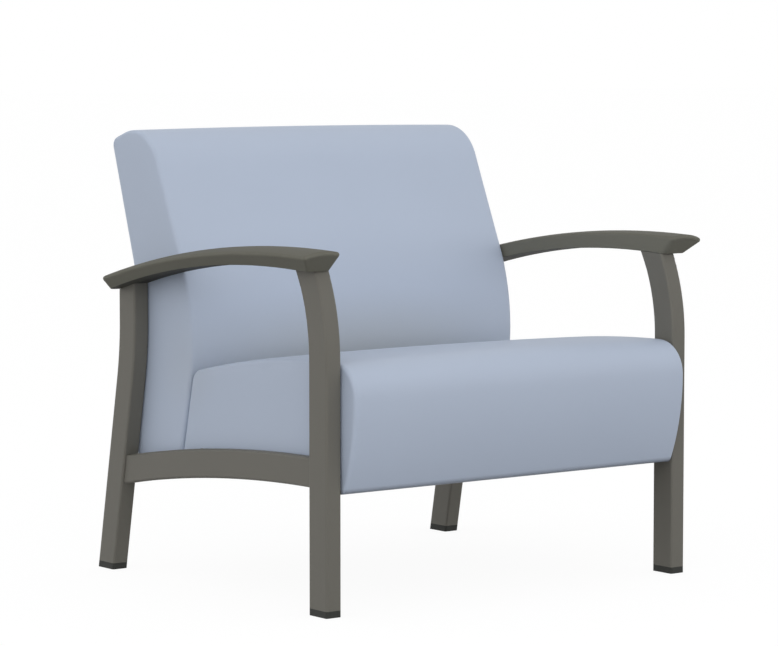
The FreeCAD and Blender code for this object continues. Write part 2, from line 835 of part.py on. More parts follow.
def arm_round(shape, edge):
    """How far an edge above the arm cap's underside is rounded: one size round the top, more at corners."""
    top = next(face for face in shape.Faces if isinstance(face.Surface, Part.Toroid))
    middle = edge.CenterOfMass
    if borders(top, edge):
        return dim.arm_edge_round
    if middle.y > dim.arm_crest_y.number:
        return dim.arm_rear_round
    return dim.arm_nose_round if abs(middle.x) > bar_x.number else dim.arm_inner_round


def rounded(name, base, radius):
    """Round each edge of a piece by what the rule gives for it, if anything."""
    doc.recompute()
    feature = doc.addObject("Part::Fillet", name)
    feature.Base = base
    sizes = ((index, radius(edge)) for index, edge in enumerate(base.Shape.Edges, start=1))
    feature.Edges = [(index, size.number, size.number) for index, size in sizes if size]
    doc.recompute()
    return feature


def cut_side_view(body, name, loops):
    """Cut shapes of the side view right through a body."""
    sketch = new_sketch(body, name + "_outline", "YZ_Plane")
    for loop in loops:
        draw(sketch, loop)
    return pocket(body, name, sketch)


def arm_blank(name, side):
    """The arm cap before its screw holes."""
    body = new_body(name)
    swept("PartDesign::Revolution", body, name + "_sweep", arm_section(side), TOP_AXIS,
          (arm_front_end, arm_rear_end))
    cut_side_view(body, name + "_ends", arm_end_loops())
    cut_side_view(body, name + "_underside", [underside_loop()])
    doc.recompute()
    trimmed = body.Shape
    underside = underside_of(trimmed)
    top = rounded(name + "_top", body,
                  lambda edge: None if borders(underside, edge) else arm_round(trimmed, edge))
    lower = underside_of(top.Shape)
    base = rounded(name + "_base", top, lambda edge: dim.arm_base_round if borders(lower, edge) else None)
    return cut(name + "_seated", base, bar_blank(name + "_seat", side, dim.bar_fit))


def bar_blank(name, side, room=as_size(0)):
    """The bar before its screw holes, or with room around it, what its seat takes out of the arm cap."""
    body = new_body(name)
    swept("PartDesign::Revolution", body, name + "_sweep", bar_section(side, room), UNDERSIDE_AXIS,
          (bar_front_end - room / 10, bar_rear_end + room / 10))
    return body


class Spot:
    """Where a round piece stands: a point, and the turn about X that its axis has from upright."""

    def __init__(self, x, y, z, turn=0):
        self.x, self.y, self.z = as_size(x), as_size(y), as_size(z)
        self.turn = as_size(turn)

    def place(self, thing, lift=0):
        """Move a primitive here, lifted along the axis."""
        lift = as_size(lift)
        bind(thing, x=self.x, y=self.y - lift * sine(self.turn), z=self.z + lift * cosine(self.turn))
        return turned(thing, self.turn) if "sizes." in self.turn.text else thing


def disc(name, radius, height, spot, lift=0):
    """A cylinder that stands on a spot."""
    return spot.place(bind(doc.addObject("Part::Cylinder", name), Radius=radius, Height=height), lift)


def arm_spot(x, angle):
    """A spot on the arm's underside, facing away from the arm's axis."""
    y = dim.arm_crest_y + dim.arm_radius * sine(angle)
    z = arm_axis_z + dim.arm_radius * cosine(angle)
    return Spot(x, y, z, -angle)


def arm_screw(name, spot, room, length):
    """A countersunk screw, or with room around it, the hole for one."""
    head = bind(doc.addObject("Part::Cone", name + "_head"), Radius1=dim.arm_screw_head_radius + room,
                Radius2=dim.arm_screw_radius + room, Height=dim.arm_screw_head_height)
    return fused(name, spot.place(head), disc(name + "_shank", dim.arm_screw_radius + room, length, spot))


screws = []
for hand, side in SIDES.items():
    holes, pilots = [], []
    for number in range(ARM_SCREWS):
        share = (number + 1) / (ARM_SCREWS + 1)
        spot = arm_spot(side * bar_x, bar_front_end + (bar_rear_end - bar_front_end) * share)
        tag = f"{hand}_{number + 1}"
        screws.append(arm_screw(f"arm_screw_{tag}", spot, as_size(0), dim.arm_screw_length))
        holes.append(arm_screw(f"arm_screw_hole_{tag}", spot, dim.arm_screw_fit,
                               dim.bar_thickness + OVERRUN))
        pilots.append(disc(f"arm_pilot_{tag}", dim.arm_screw_radius + dim.arm_screw_fit,
                           dim.arm_screw_length + dim.arm_screw_fit, spot))
    bar = bar_blank(f"arm_bar_{hand}_blank", side)
    keep(cut(f"arm_bar_{hand}", bar, group(f"arm_bar_holes_{hand}", holes)), f"arm_bar_{hand}")
    cap = arm_blank(f"arm_cap_{hand}_blank", side)
    keep(cut(f"arm_cap_{hand}", cap, group(f"arm_cap_pilots_{hand}", pilots)), f"arm_cap_{hand}")
keep(group("arm_screws", screws), "arm_screws")


# Cross rails

seat_bolt_x = box_half - dim.board - dim.block_length / 2
back_cross_z = rail_arc_z(dim.rail_radius - dim.rail_height / 2, post_y) - dim.cross_height / 2
back_bottom_z = back_cross_z + dim.cross_height + dim.back_clearance
back_frame_z = back_bottom_z + dim.cover_thickness / 2


def cross_rail(name, y, z, depth, bolted):
    """A flat-lying tube from side rail to side rail, drilled where the seat bolts to it."""
    low, high = (y - depth / 2, z), (y + depth / 2, z + dim.cross_height)
    wall = dim.cross_wall
    bore = rectangle((low[0] + wall, low[1] + wall), (high[0] - wall, high[1] - wall))
    body, _ = slab(name, -rail_inner_x, 2 * rail_inner_x, rectangle(low, high), bore)
    if bolted:
        drill(body, name, y)
    return keep(body, name)


def drill(body, name, y):
    sketch = new_sketch(body, name + "_holes", "XY_Plane")
    for side in SIDES.values():
        hole = Part.Circle(Vector((side * seat_bolt_x).number, y.number, 0), Vector(0, 0, 1),
                           (dim.bolt_radius + dim.bolt_fit).number)
        index = sketch.addGeometry(hole, False)
        tie_point(sketch, index, 3, side * seat_bolt_x, y)
        radius = dim.bolt_radius + dim.bolt_fit
        tie_down(sketch, Sketcher.Constraint("Radius", index, radius.number), radius)
    pocket(body, name + "_drilled", sketch)


SEAT_CROSS_RAILS = {"front": dim.front_cross_y, "rear": dim.rear_cross_y}
for end, y in SEAT_CROSS_RAILS.items():
    cross_rail(f"{end}_cross_rail", y, cross_z, dim.cross_depth, bolted=True)
cross_rail("back_cross_rail", post_y, back_cross_z, dim.post_depth, bolted=False)


# Side views of the cushions

def waist_line(reach):
    """A point of the back's lower front line, moved out by a reach, and its direction downwards."""
    lean_cosine, lean_sine = cosine(dim.waist_lean), sine(dim.waist_lean)
    radius = dim.waist_radius + reach
    y, z = waist_centre_y - radius * lean_cosine, dim.lumbar_z - radius * lean_sine
    return SimpleNamespace(point=(y, z), down=(lean_sine, -lean_cosine), out=(-lean_cosine, -lean_sine),
                           at=lambda height: y + (z - height) * tangent(dim.waist_lean))


def seat_corners(inset, skirt_z, step_y, side_z, crown=0):
    """Side view of the seat: rear line, crowned top, rounded nose, bulging front, hem and skirt."""
    nose_y, nose_z = dim.nose_y - crown / 2, dim.nose_z + crown
    nose = dim.nose_radius - inset
    top = dim.seat_top_radius - inset
    front = dim.seat_front_radius - inset
    rear_round = dim.seat_rear_round - inset
    hem = dim.seat_hem_round - inset
    top_centre = (nose_y, nose_z + nose - top)
    front_centre = (nose_y - nose + front, nose_z)
    line = waist_line(dim.seat_back_gap + inset + rear_round)
    from_centre = (line.point[0] - top_centre[0], line.point[1] - top_centre[1])
    along = from_centre[0] * line.down[0] + from_centre[1] * line.down[1]
    reach = top - rear_round
    length = from_centre[0] * from_centre[0] + from_centre[1] * from_centre[1]
    climb = along + root(along * along - length + reach * reach)
    round_centre = (line.point[0] - climb * line.down[0], line.point[1] - climb * line.down[1])
    on_line = (round_centre[0] - rear_round * line.out[0], round_centre[1] - rear_round * line.out[1])
    ratio = top / reach
    on_top = (top_centre[0] + (round_centre[0] - top_centre[0]) * ratio,
              top_centre[1] + (round_centre[1] - top_centre[1]) * ratio)
    hem_reach = front - hem
    hem_z = skirt_z + hem
    hem_y = front_centre[0] - root(hem_reach * hem_reach - (hem_z - nose_z) * (hem_z - nose_z))
    on_front = (front_centre[0] + (hem_y - front_centre[0]) * front / hem_reach,
                front_centre[1] + (hem_z - front_centre[1]) * front / hem_reach)
    rear_foot = waist_line(dim.seat_back_gap + inset).at(side_z)
    return [
        Corner(rear_foot, side_z),
        Corner(*on_line, Arc(round_centre, rear_round, "radius")),
        Corner(*on_top, Arc(top_centre, top, "radius")),
        Corner(nose_y, nose_z + nose, Arc((nose_y, nose_z), nose, "radius")),
        Corner(nose_y - nose, nose_z, Arc(front_centre, front, "radius")),
        Corner(*on_front, Arc((hem_y, hem_z), hem, "radius")),
        Corner(hem_y, skirt_z),
        Corner(step_y, skirt_z),
        Corner(step_y, side_z),
    ]


def knee_line(inset):
    """The back's rear face moved in: its upright line, its bend and its reclined line."""
    radius = dim.back_knee_radius + inset
    lean_cosine, lean_sine = cosine(dim.back_recline), sine(dim.back_recline)
    return SimpleNamespace(y=dim.back_rear_y - inset, radius=radius,
                           start=(knee_centre_y - radius * lean_cosine, knee_centre_z + radius * lean_sine),
                           up=(lean_sine, lean_cosine), inward=(-lean_cosine, lean_sine))


def back_corners(front, rear, bottom_z, corner=None, crown=0):
    """Side view of the back: waist, lumbar, straight front, rounded head, sloping top, bent rear."""
    lumbar_y, head_y = dim.lumbar_y - crown, dim.head_y - crown
    head_z = dim.head_z + crown / 2
    lumbar = dim.lumbar_radius - front
    waist = dim.waist_radius - front
    head = dim.head_radius - front
    lumbar_centre = (lumbar_y + dim.lumbar_radius, dim.lumbar_z)
    waist_centre = (lumbar_y + dim.waist_radius, dim.lumbar_z)
    back, up = lumbar_centre[0] - head_y, head_z - dim.lumbar_z
    span = root(back * back + up * up)
    lean_angle = arccosine((dim.lumbar_radius - dim.head_radius) / span) * -1 + arctangent(up / back)
    lean_cosine, lean_sine = cosine(lean_angle), sine(lean_angle)
    waist_cosine, waist_sine = cosine(dim.waist_lean), sine(dim.waist_lean)
    waist_low = (waist_centre[0] - waist * waist_cosine, dim.lumbar_z - waist * waist_sine)
    front_foot = waist_low[0] + (waist_low[1] - bottom_z) * tangent(dim.waist_lean)
    slope_cosine, slope_sine = cosine(dim.top_slope), sine(dim.top_slope)
    top_start = (head_y + head * slope_sine, head_z + head * slope_cosine)
    knee = knee_line(rear)
    ahead, above = knee.start[0] - top_start[0], knee.start[1] - top_start[1]
    run = (ahead * knee.up[1] - above * knee.up[0]) / cosine(dim.top_slope - dim.back_recline)
    peak = (top_start[0] + run * slope_cosine, top_start[1] - run * slope_sine)
    corners = [
        Corner(front_foot, bottom_z),
        Corner(*waist_low, Arc(waist_centre, waist, "radius")),
        Corner(lumbar_centre[0] - lumbar, dim.lumbar_z, Arc(lumbar_centre, lumbar, "radius")),
        Corner(lumbar_centre[0] - lumbar * lean_cosine, dim.lumbar_z + lumbar * lean_sine),
        Corner(head_y - head * lean_cosine, head_z + head * lean_sine,
               Arc((head_y, head_z), head, "radius")),
        Corner(*top_start),
    ]
    if corner is None:
        corners.append(Corner(*peak))
    else:
        side = corner * tangent((90 - dim.top_slope + dim.back_recline) / 2)
        first = (peak[0] - side * slope_cosine, peak[1] + side * slope_sine)
        last = (peak[0] - side * knee.up[0], peak[1] - side * knee.up[1])
        centre = (first[0] - corner * slope_sine, first[1] - corner * slope_cosine)
        corners += [Corner(*first, Arc(centre, corner, "radius")), Corner(*last)]
    return corners + [
        Corner(*knee.start, Arc((knee_centre_y, knee_centre_z), knee.radius, "radius")),
        Corner(knee.y, knee_centre_z),
        Corner(knee.y, bottom_z),
    ]


# Seat box

front_board_y = (dim.nose_y - dim.nose_radius + dim.seat_front_radius
                 - root(dim.seat_front_radius * dim.seat_front_radius
                        - (skirt_board_z - dim.nose_z) * (skirt_board_z - dim.nose_z))
                 + dim.cover_thickness + dim.front_padding)
step_y = front_board_y + dim.board
rear_board_y = waist_line(dim.seat_back_gap).at(box_top_z) - dim.cover_thickness - dim.rear_padding
side_hem_z = cross_z - dim.cover_thickness / 2


def notched_side():
    """Side view of a seat side board, notched over the two cross rails."""
    low, high = cross_z, box_top_z
    front, rear = step_y, rear_board_y - dim.board
    corners = [Corner(front, low)]
    for y in SEAT_CROSS_RAILS.values():
        before, after = y - dim.cross_depth / 2 - dim.weld_fit, y + dim.cross_depth / 2 + dim.weld_fit
        corners += [Corner(before, low), Corner(before, cross_top_z), Corner(after, cross_top_z),
                    Corner(after, low)]
    return corners + [Corner(rear, low), Corner(rear, high), Corner(front, high)]


for hand, side in SIDES.items():
    board, _ = slab(f"seat_side_board_{hand}", side_start(side, box_half - dim.board, dim.board), dim.board,
                    notched_side())
    keep(board, f"seat_side_board_{hand}")
centre_board, _ = slab("seat_centre_board", -dim.board / 2, dim.board, notched_side())
keep(centre_board, "seat_centre_board")
keep(box("seat_front_board", (-box_half, front_board_y, skirt_board_z), (box_half, step_y, box_top_z)),
     "seat_front_board")
keep(box("seat_rear_board", (-box_half, rear_board_y - dim.board, cross_z),
         (box_half, rear_board_y, box_top_z)), "seat_rear_board")


def bolt(name, spot, length):
    """A hexagon head below a spot and a shank that passes it."""
    head = bind(doc.addObject("Part::Prism", name + "_head"), Circumradius=dim.bolt_head_radius,
                Height=dim.bolt_head_height)
    shank = disc(name + "_shank", dim.bolt_radius, length, spot)
    return fused(name, spot.place(head, -dim.bolt_head_height), shank)


def washer(name, spot):
    hole = disc(name + "_hole", dim.bolt_radius + dim.bolt_fit, dim.washer_thickness, spot)
    return cut(name, disc(name + "_disc", dim.washer_radius, dim.washer_thickness, spot), hole)


def tee_nut(name, spot):
    """A flange on a face and a barrel that reaches back into the wood."""
    length = dim.tee_nut_barrel_length
    flange = disc(name + "_flange", dim.tee_nut_radius, dim.tee_nut_thickness, spot)
    barrel = disc(name + "_barrel", dim.tee_nut_barrel_radius, length, spot, -length)
    bore = disc(name + "_bore", dim.bolt_radius + dim.bolt_fit, length + dim.tee_nut_thickness, spot,
                -length)
    return cut(name, fused(name + "_solid", flange, barrel), bore)


def bolt_hole(name, start, length, with_nut):
    """The hole for a bolt through a piece, wider at its far end where a tee nut is let in."""
    hole = disc(name + "_shaft", dim.bolt_radius + dim.bolt_fit, length, start)
    if not with_nut:
        return hole
    depth = dim.tee_nut_barrel_length + dim.bolt_fit
    return fused(name, hole, disc(name + "_seat", dim.tee_nut_barrel_radius + dim.bolt_fit, depth, start,
                                  length - depth))


blocks, bolts, washers, tee_nuts = [], [], [], []
half_length, half_depth = dim.block_length / 2, dim.cross_depth / 2
for end, y in SEAT_CROSS_RAILS.items():
    for hand, side in SIDES.items():
        tag = f"{end}_{hand}"
        x = side * seat_bolt_x
        block = box(f"seat_block_{tag}_blank", (x - half_length, y - half_depth, cross_top_z),
                    (x + half_length, y + half_depth, cross_top_z + dim.block_height))
        hole = bolt_hole(f"seat_block_{tag}_hole", Spot(x, y, cross_top_z), dim.block_height, with_nut=True)
        blocks.append(cut(f"seat_block_{tag}", block, hole))
        below = Spot(x, y, cross_z - dim.washer_thickness)
        washers.append(washer(f"seat_washer_{tag}", below))
        bolts.append(bolt(f"seat_bolt_{tag}", below,
                          dim.washer_thickness + dim.cross_height + dim.block_height))
        tee_nuts.append(tee_nut(f"seat_tee_nut_{tag}", Spot(x, y, cross_top_z + dim.block_height)))
keep(group("seat_mounting_blocks", blocks), "seat_mounting_blocks")
keep(group("seat_bolts", bolts), "seat_bolts")
keep(group("seat_washers", washers), "seat_washers")
keep(group("seat_tee_nuts", tee_nuts), "seat_tee_nuts")


def straps_along_y():
    """Webbing from the front board to the rear board, above the straps that cross it."""
    low = box_top_z + dim.webbing_thickness
    spacing = 2 * box_half / SEAT_STRAPS_LONG
    for number in range(SEAT_STRAPS_LONG):
        x = -box_half + spacing * (number + 0.5)
        yield box(f"seat_strap_long_{number + 1}", (x - dim.webbing_width / 2, front_board_y, low),
                  (x + dim.webbing_width / 2, rear_board_y, low + dim.webbing_thickness))


def straps_along_x():
    """Webbing from side board to side board."""
    spacing = (rear_board_y - front_board_y) / SEAT_STRAPS_ACROSS
    for number in range(SEAT_STRAPS_ACROSS):
        y = front_board_y + spacing * (number + 0.5)
        yield box(f"seat_strap_across_{number + 1}", (-box_half, y - dim.webbing_width / 2, box_top_z),
                  (box_half, y + dim.webbing_width / 2, box_top_z + dim.webbing_thickness))


keep(group("seat_webbing_lengthwise", straps_along_y()), "seat_webbing_lengthwise")
keep(group("seat_webbing_crosswise", straps_along_x()), "seat_webbing_crosswise")

dust_inset = dim.cover_thickness + dim.dust_margin
dust_half = cushion_half - dust_inset
dust_rear = waist_line(dim.seat_back_gap + dust_inset).at(cross_z)
dust_sheet = box("seat_dust_sheet", (-dust_half, step_y, side_hem_z), (dust_half, dust_rear, cross_z))
dust_holes = [disc(f"dust_hole_{end}_{hand}", dim.washer_radius + dim.bolt_fit, dim.cover_thickness,
                   Spot(side * seat_bolt_x, y, cross_z - dim.cover_thickness))
              for end, y in SEAT_CROSS_RAILS.items() for hand, side in SIDES.items()]
keep(cut("seat_dust_cover", dust_sheet, group("seat_dust_holes", dust_holes)), "seat_dust_cover")


# Back frame

def post_corners(inset, overrun):
    """Side view of a back post: upright on the cross rail, bent, then along the reclined rear."""
    middle, reach = dim.back_rear_y - post_y, dim.post_depth / 2 - inset
    rear, front = knee_line(middle - reach), knee_line(middle + reach)
    base = back_cross_z + dim.cross_height - overrun
    rise = dim.post_reach + overrun
    centre = (knee_centre_y, knee_centre_z)
    return [
        Corner(rear.y, base),
        Corner(rear.y, knee_centre_z, Arc(centre, rear.radius, "radius")),
        Corner(*rear.start),
        Corner(rear.start[0] + rise * rear.up[0], rear.start[1] + rise * rear.up[1]),
        Corner(front.start[0] + rise * front.up[0], front.start[1] + rise * front.up[1]),
        Corner(*front.start, Arc(centre, front.radius, "radius")),
        Corner(front.y, knee_centre_z),
        Corner(front.y, base),
    ]


def leaning_rail_corners(inset, thickness, start, end):
    """Side view of a board that stands on the reclined part of an inset rear line."""
    line = knee_line(inset)
    corners = []
    for depth, height in ((0, start), (0, end), (thickness, end), (thickness, start)):
        corners.append(Corner(line.start[0] + height * line.up[0] + depth * line.inward[0],
                              line.start[1] + height * line.up[1] + depth * line.inward[1]))
    return corners


def rear_panel_corners():
    """Side view of the bent rear panel, as high as the frame's rear edge."""
    outer, inner = knee_line(panel_inset), knee_line(frame_inset)
    centre = (knee_centre_y, knee_centre_z)
    return [
        Corner(outer.y, back_frame_z),
        Corner(outer.y, knee_centre_z, Arc(centre, outer.radius, "radius")),
        Corner(*outer.start),
        Corner(outer.start[0] + frame_rise * outer.up[0], outer.start[1] + frame_rise * outer.up[1]),
        Corner(inner.start[0] + frame_rise * inner.up[0], inner.start[1] + frame_rise * inner.up[1]),
        Corner(*inner.start, Arc(centre, inner.radius, "radius")),
        Corner(inner.y, knee_centre_z),
        Corner(inner.y, back_frame_z),
    ]


frame_corners = back_corners(foam_inset, frame_inset, back_frame_z)
frame_foot_y = frame_corners[0].across
frame_peak = frame_corners[6]
frame_knee = knee_line(frame_inset)
frame_rise = ((frame_peak.across - frame_knee.start[0]) * frame_knee.up[0]
              + (frame_peak.up - frame_knee.start[1]) * frame_knee.up[1])
back_board_inner = box_half - dim.board

for hand, side in SIDES.items():
    board, _ = slab(f"back_side_board_{hand}", side_start(side, back_board_inner, dim.board), dim.board,
                    back_corners(foam_inset, frame_inset, back_frame_z))
    keep(board, f"back_side_board_{hand}")

post_front_inset = dim.back_rear_y - post_y + dim.post_depth / 2
upper_rail_start = dim.post_reach - dim.back_rail_height
lower_rail_y = dim.back_rear_y - post_front_inset
lower_rail_z = back_frame_z + 2 * dim.back_rail_height
PLAIN_RAILS = {
    "back_top_rail": leaning_rail_corners(frame_inset, dim.board, frame_rise - dim.back_rail_height,
                                          frame_rise - dim.board),
    "back_bottom_rail": rectangle((frame_foot_y, back_frame_z),
                                  (frame_foot_y + dim.board, back_frame_z + dim.back_rail_height)),
}
BOLTED_RAILS = {
    "back_upper_rail": leaning_rail_corners(post_front_inset, dim.board, upper_rail_start, dim.post_reach),
    "back_lower_rail": rectangle((lower_rail_y - dim.board, lower_rail_z),
                                 (lower_rail_y, lower_rail_z + dim.back_rail_height)),
}
post_rear = knee_line(post_front_inset - dim.post_depth)


def back_bolt_spots(side):
    """Spots on a post's rear face, two at each bolted rail, that face forwards through post and rail."""
    x = side * post_x
    for step in (-0.5, 0.5):
        rise = upper_rail_start + dim.back_rail_height / 2 + step * dim.back_bolt_spacing
        yield "back_upper_rail", Spot(x, post_rear.start[0] + rise * post_rear.up[0],
                                      post_rear.start[1] + rise * post_rear.up[1], 90 - dim.back_recline)
        z = lower_rail_z + dim.back_rail_height / 2 + step * dim.back_bolt_spacing
        yield "back_lower_rail", Spot(x, post_rear.y, z, 90 + 0 * dim.back_recline)


def moved(spot, lift):
    """The spot further along its own axis."""
    return Spot(spot.x, spot.y - lift * sine(spot.turn), spot.z + lift * cosine(spot.turn), spot.turn)


def back_post(name, side, holes):
    """A bent tube, drilled where the back bolts to it."""
    width = dim.post_width - 2 * dim.post_wall
    body, _ = slab(name + "_tube", side * post_x - dim.post_width / 2, dim.post_width,
                   post_corners(as_size(0), 0))
    bore = new_sketch(body, name + "_bore_outline", "YZ_Plane", side * post_x - width / 2)
    draw(bore, post_corners(dim.post_wall, OVERRUN))
    pocket(body, name + "_bore", bore, width)
    return keep(cut(name, body, group(name + "_holes", holes)), name)


bolts, washers, tee_nuts = [], [], []
rail_holes = {name: [] for name in BOLTED_RAILS}
for hand, side in SIDES.items():
    post_holes = []
    for number, (rail_name, spot) in enumerate(back_bolt_spots(side), start=1):
        tag = f"{hand}_{number}"
        behind = moved(spot, -dim.washer_thickness)
        washers.append(washer(f"back_washer_{tag}", behind))
        bolts.append(bolt(f"back_bolt_{tag}", behind, dim.washer_thickness + dim.post_depth + dim.board))
        tee_nuts.append(tee_nut(f"back_tee_nut_{tag}", moved(spot, dim.post_depth + dim.board)))
        post_holes.append(bolt_hole(f"back_post_hole_{tag}", spot, dim.post_depth, with_nut=False))
        rail_hole = bolt_hole(f"back_rail_hole_{tag}", moved(spot, dim.post_depth), dim.board,
                              with_nut=True)
        rail_holes[rail_name].append(rail_hole)
    back_post(f"back_post_{hand}", side, post_holes)
for name, corners in PLAIN_RAILS.items():
    rail, _ = slab(name, -back_board_inner, 2 * back_board_inner, corners)
    keep(rail, name)
for name, corners in BOLTED_RAILS.items():
    rail, _ = slab(name + "_board", -back_board_inner, 2 * back_board_inner, corners)
    keep(cut(name, rail, group(name + "_holes", rail_holes[name])), name)
keep(group("back_bolts", bolts), "back_bolts")
keep(group("back_washers", washers), "back_washers")
keep(group("back_tee_nuts", tee_nuts), "back_tee_nuts")
panel, _ = slab("back_rear_panel", -box_half, 2 * box_half, rear_panel_corners())
keep(panel, "back_rear_panel")

back_dust = box("back_dust_sheet", (-dust_half, waist_line(-dust_inset).at(back_frame_z), back_bottom_z),
                (dust_half, dim.back_rear_y - dust_inset, back_frame_z))
post_half_x, post_half_y = (size / 2 + dim.bolt_fit for size in (dim.post_width, dim.post_depth))
post_slots = []
for hand, side in SIDES.items():
    x = side * post_x
    post_slots.append(box(f"post_slot_{hand}", (x - post_half_x, post_y - post_half_y, back_cross_z),
                          (x + post_half_x, post_y + post_half_y, back_frame_z + OVERRUN)))
keep(cut("back_dust_cover", back_dust, group("post_slots", post_slots)), "back_dust_cover")


def strap_across(name, y, z, lean_angle):
    """A strap from side board to side board whose rear face lies on the boards' front edges."""
    strap = bind(doc.addObject("Part::Box", name), Length=2 * box_half, Width=dim.webbing_thickness,
                 Height=dim.webbing_width)
    half = dim.webbing_width / 2
    inward_y, inward_z = cosine(lean_angle), -sine(lean_angle)
    bind(strap, x=-box_half,
         y=y - half * sine(lean_angle) - dim.webbing_thickness * inward_y,
         z=z - half * cosine(lean_angle) - dim.webbing_thickness * inward_z)
    return turned(strap, -lean_angle)


def back_straps():
    """Webbing over the straight upper and lower front edges of the back's side boards."""
    low, high = frame_corners[3], frame_corners[4]
    rise, run = high.up - low.up, high.across - low.across
    lean_angle = arctangent(run / rise)
    for number in range(UPPER_BACK_STRAPS):
        share = (number + 0.5) / UPPER_BACK_STRAPS
        y, z = low.across + run * share, low.up + rise * share
        yield strap_across(f"back_strap_upper_{number + 1}", y, z, lean_angle)
    low, high = frame_corners[0], frame_corners[1]
    rise, run = high.up - low.up, high.across - low.across
    for number in range(LOWER_BACK_STRAPS):
        share = (number + 0.5) / LOWER_BACK_STRAPS
        y, z = low.across + run * share, low.up + rise * share
        yield strap_across(f"back_strap_lower_{number + 1}", y, z, -dim.waist_lean)


keep(group("back_webbing", back_straps()), "back_webbing")


# Soft pieces

def wire(corners, x):
    """A closed wire of lines and arcs in a plane square to X."""
    edges = []
    for corner, following in zip(corners, corners[1:] + corners[:1]):
        start, end = (Vector(x, point.across.number, point.up.number) for point in (corner, following))
        if corner.arc:
            middle = corner.arc.middle()
            halfway = (corner.point() + following.point()) / 2 - middle
            crest = middle + halfway * (corner.arc.radius.number / halfway.Length)
            edges.append(Part.Arc(start, Vector(x, crest.x, crest.y), end).toShape())
        else:
            edges.append(Part.LineSegment(start, end).toShape())
    return Part.Wire(edges)


def cushion(half, edge_round, sides, middle, open_from):
    """A loft over crowned sections from side to side, with the rim of both side panels rounded.

    The corners from open_from on lie underneath, where the rim stays sharp.
    """
    shape = Part.makeLoft([wire(sides, -half), wire(middle, 0.0), wire(sides, half)], True, False)
    rim = []
    for corner, following in zip(sides[:open_from], sides[1:open_from + 1]):
        halfway = (corner.point() + following.point()) / 2
        if corner.arc:
            centre = corner.arc.middle()
            halfway = centre + (halfway - centre) * (corner.arc.radius.number / (halfway - centre).Length)
        for x in (-half, half):
            spot = Part.Vertex(Vector(x, halfway.x, halfway.y))
            rim.append(min(shape.Edges, key=lambda edge: edge.distToShape(spot)[0]))
    return shape.makeFillet(edge_round, rim)


def feature(name, shape):
    piece = doc.addObject("Part::Feature", name)
    piece.Shape = shape
    return keep(piece, name)


def plain_box(low, high):
    """A box between two corners for cutting a soft piece."""
    low, high = (Vector(*(as_size(value).number for value in corner)) for corner in (low, high))
    return Part.makeBox(*(high - low), low)


def below(z, front=-leg_outer_x):
    """All of a cushion's width under a height, behind a front line."""
    return plain_box((-leg_outer_x, front, z - 20 * OVERRUN), (leg_outer_x, leg_outer_x, z))


half = cushion_half.number
skin = dim.cover_thickness
skin_size = skin.number
edge_round = dim.cover_edge_round.number
crown = dim.cushion_crown

seat_skin = cushion(half, edge_round, seat_corners(as_size(0), dim.seat_skirt_z, step_y, side_hem_z),
                    seat_corners(as_size(0), dim.seat_skirt_z, step_y, side_hem_z, crown), SEAT_RIM_CORNERS)
seat_core = cushion(half - skin_size, edge_round - skin_size,
                    seat_corners(skin, skirt_board_z, step_y, side_hem_z - OVERRUN),
                    seat_corners(skin, skirt_board_z, step_y, side_hem_z - OVERRUN, crown), SEAT_RIM_CORNERS)
rail_slots = [plain_box((-leg_inner_x, y - dim.cross_depth / 2 - dim.bolt_fit, cross_z - OVERRUN),
                        (leg_inner_x, y + dim.cross_depth / 2 + dim.bolt_fit, cross_top_z + dim.bolt_fit))
              for y in SEAT_CROSS_RAILS.values()]
seat_box = plain_box((-box_half, front_board_y, dim.seat_skirt_z - OVERRUN),
                     (box_half, rear_board_y, box_top_z + 2 * dim.webbing_thickness))
feature("seat_cover", seat_skin.cut([seat_core] + rail_slots))
feature("seat_foam", seat_core.cut([seat_box, below(cross_z, step_y)] + rail_slots))

corner_round = dim.top_corner
back_skin = cushion(half, edge_round, back_corners(as_size(0), as_size(0), back_bottom_z, corner_round),
                    back_corners(as_size(0), as_size(0), back_bottom_z, corner_round, crown),
                    BACK_RIM_CORNERS)
inner_round = corner_round - skin
back_core = cushion(half - skin_size, edge_round - skin_size,
                    back_corners(skin, skin, back_bottom_z - OVERRUN, inner_round),
                    back_corners(skin, skin, back_bottom_z - OVERRUN, inner_round, crown),
                    BACK_RIM_CORNERS)
hollow_inset = foam_inset - dim.webbing_thickness - dim.weld_fit
hollow = Part.Face(wire(back_corners(hollow_inset, panel_inset, back_bottom_z - OVERRUN), -box_half.number))
back_hollow = hollow.extrude(Vector(2 * box_half.number, 0, 0))
feature("back_cover", back_skin.cut(back_core))
feature("back_foam", back_core.cut([back_hollow, below(back_frame_z)]))

# Check every object, then write one file for each sub-part
doc.recompute()
for thing in doc.Objects:
    if {"Invalid", "Error"} & set(thing.State):
        raise RuntimeError(f"{thing.Name} failed: {thing.State}")
os.makedirs("parts", exist_ok=True)
for piece in subparts:
    if piece.Shape.isNull() or not piece.Shape.isValid():
        raise RuntimeError(f"{piece.Label} has no valid shape")
    piece.Shape.exportStep(f"parts/{piece.Label}.step")
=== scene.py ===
"""Looks of the extra-wide guest chair: smooth pale blue-grey vinyl over foam, satin grey-brown frame.

Metres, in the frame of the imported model: +Z up, the sitter faces -Y, the origin on the floor.
"""
import json
import math

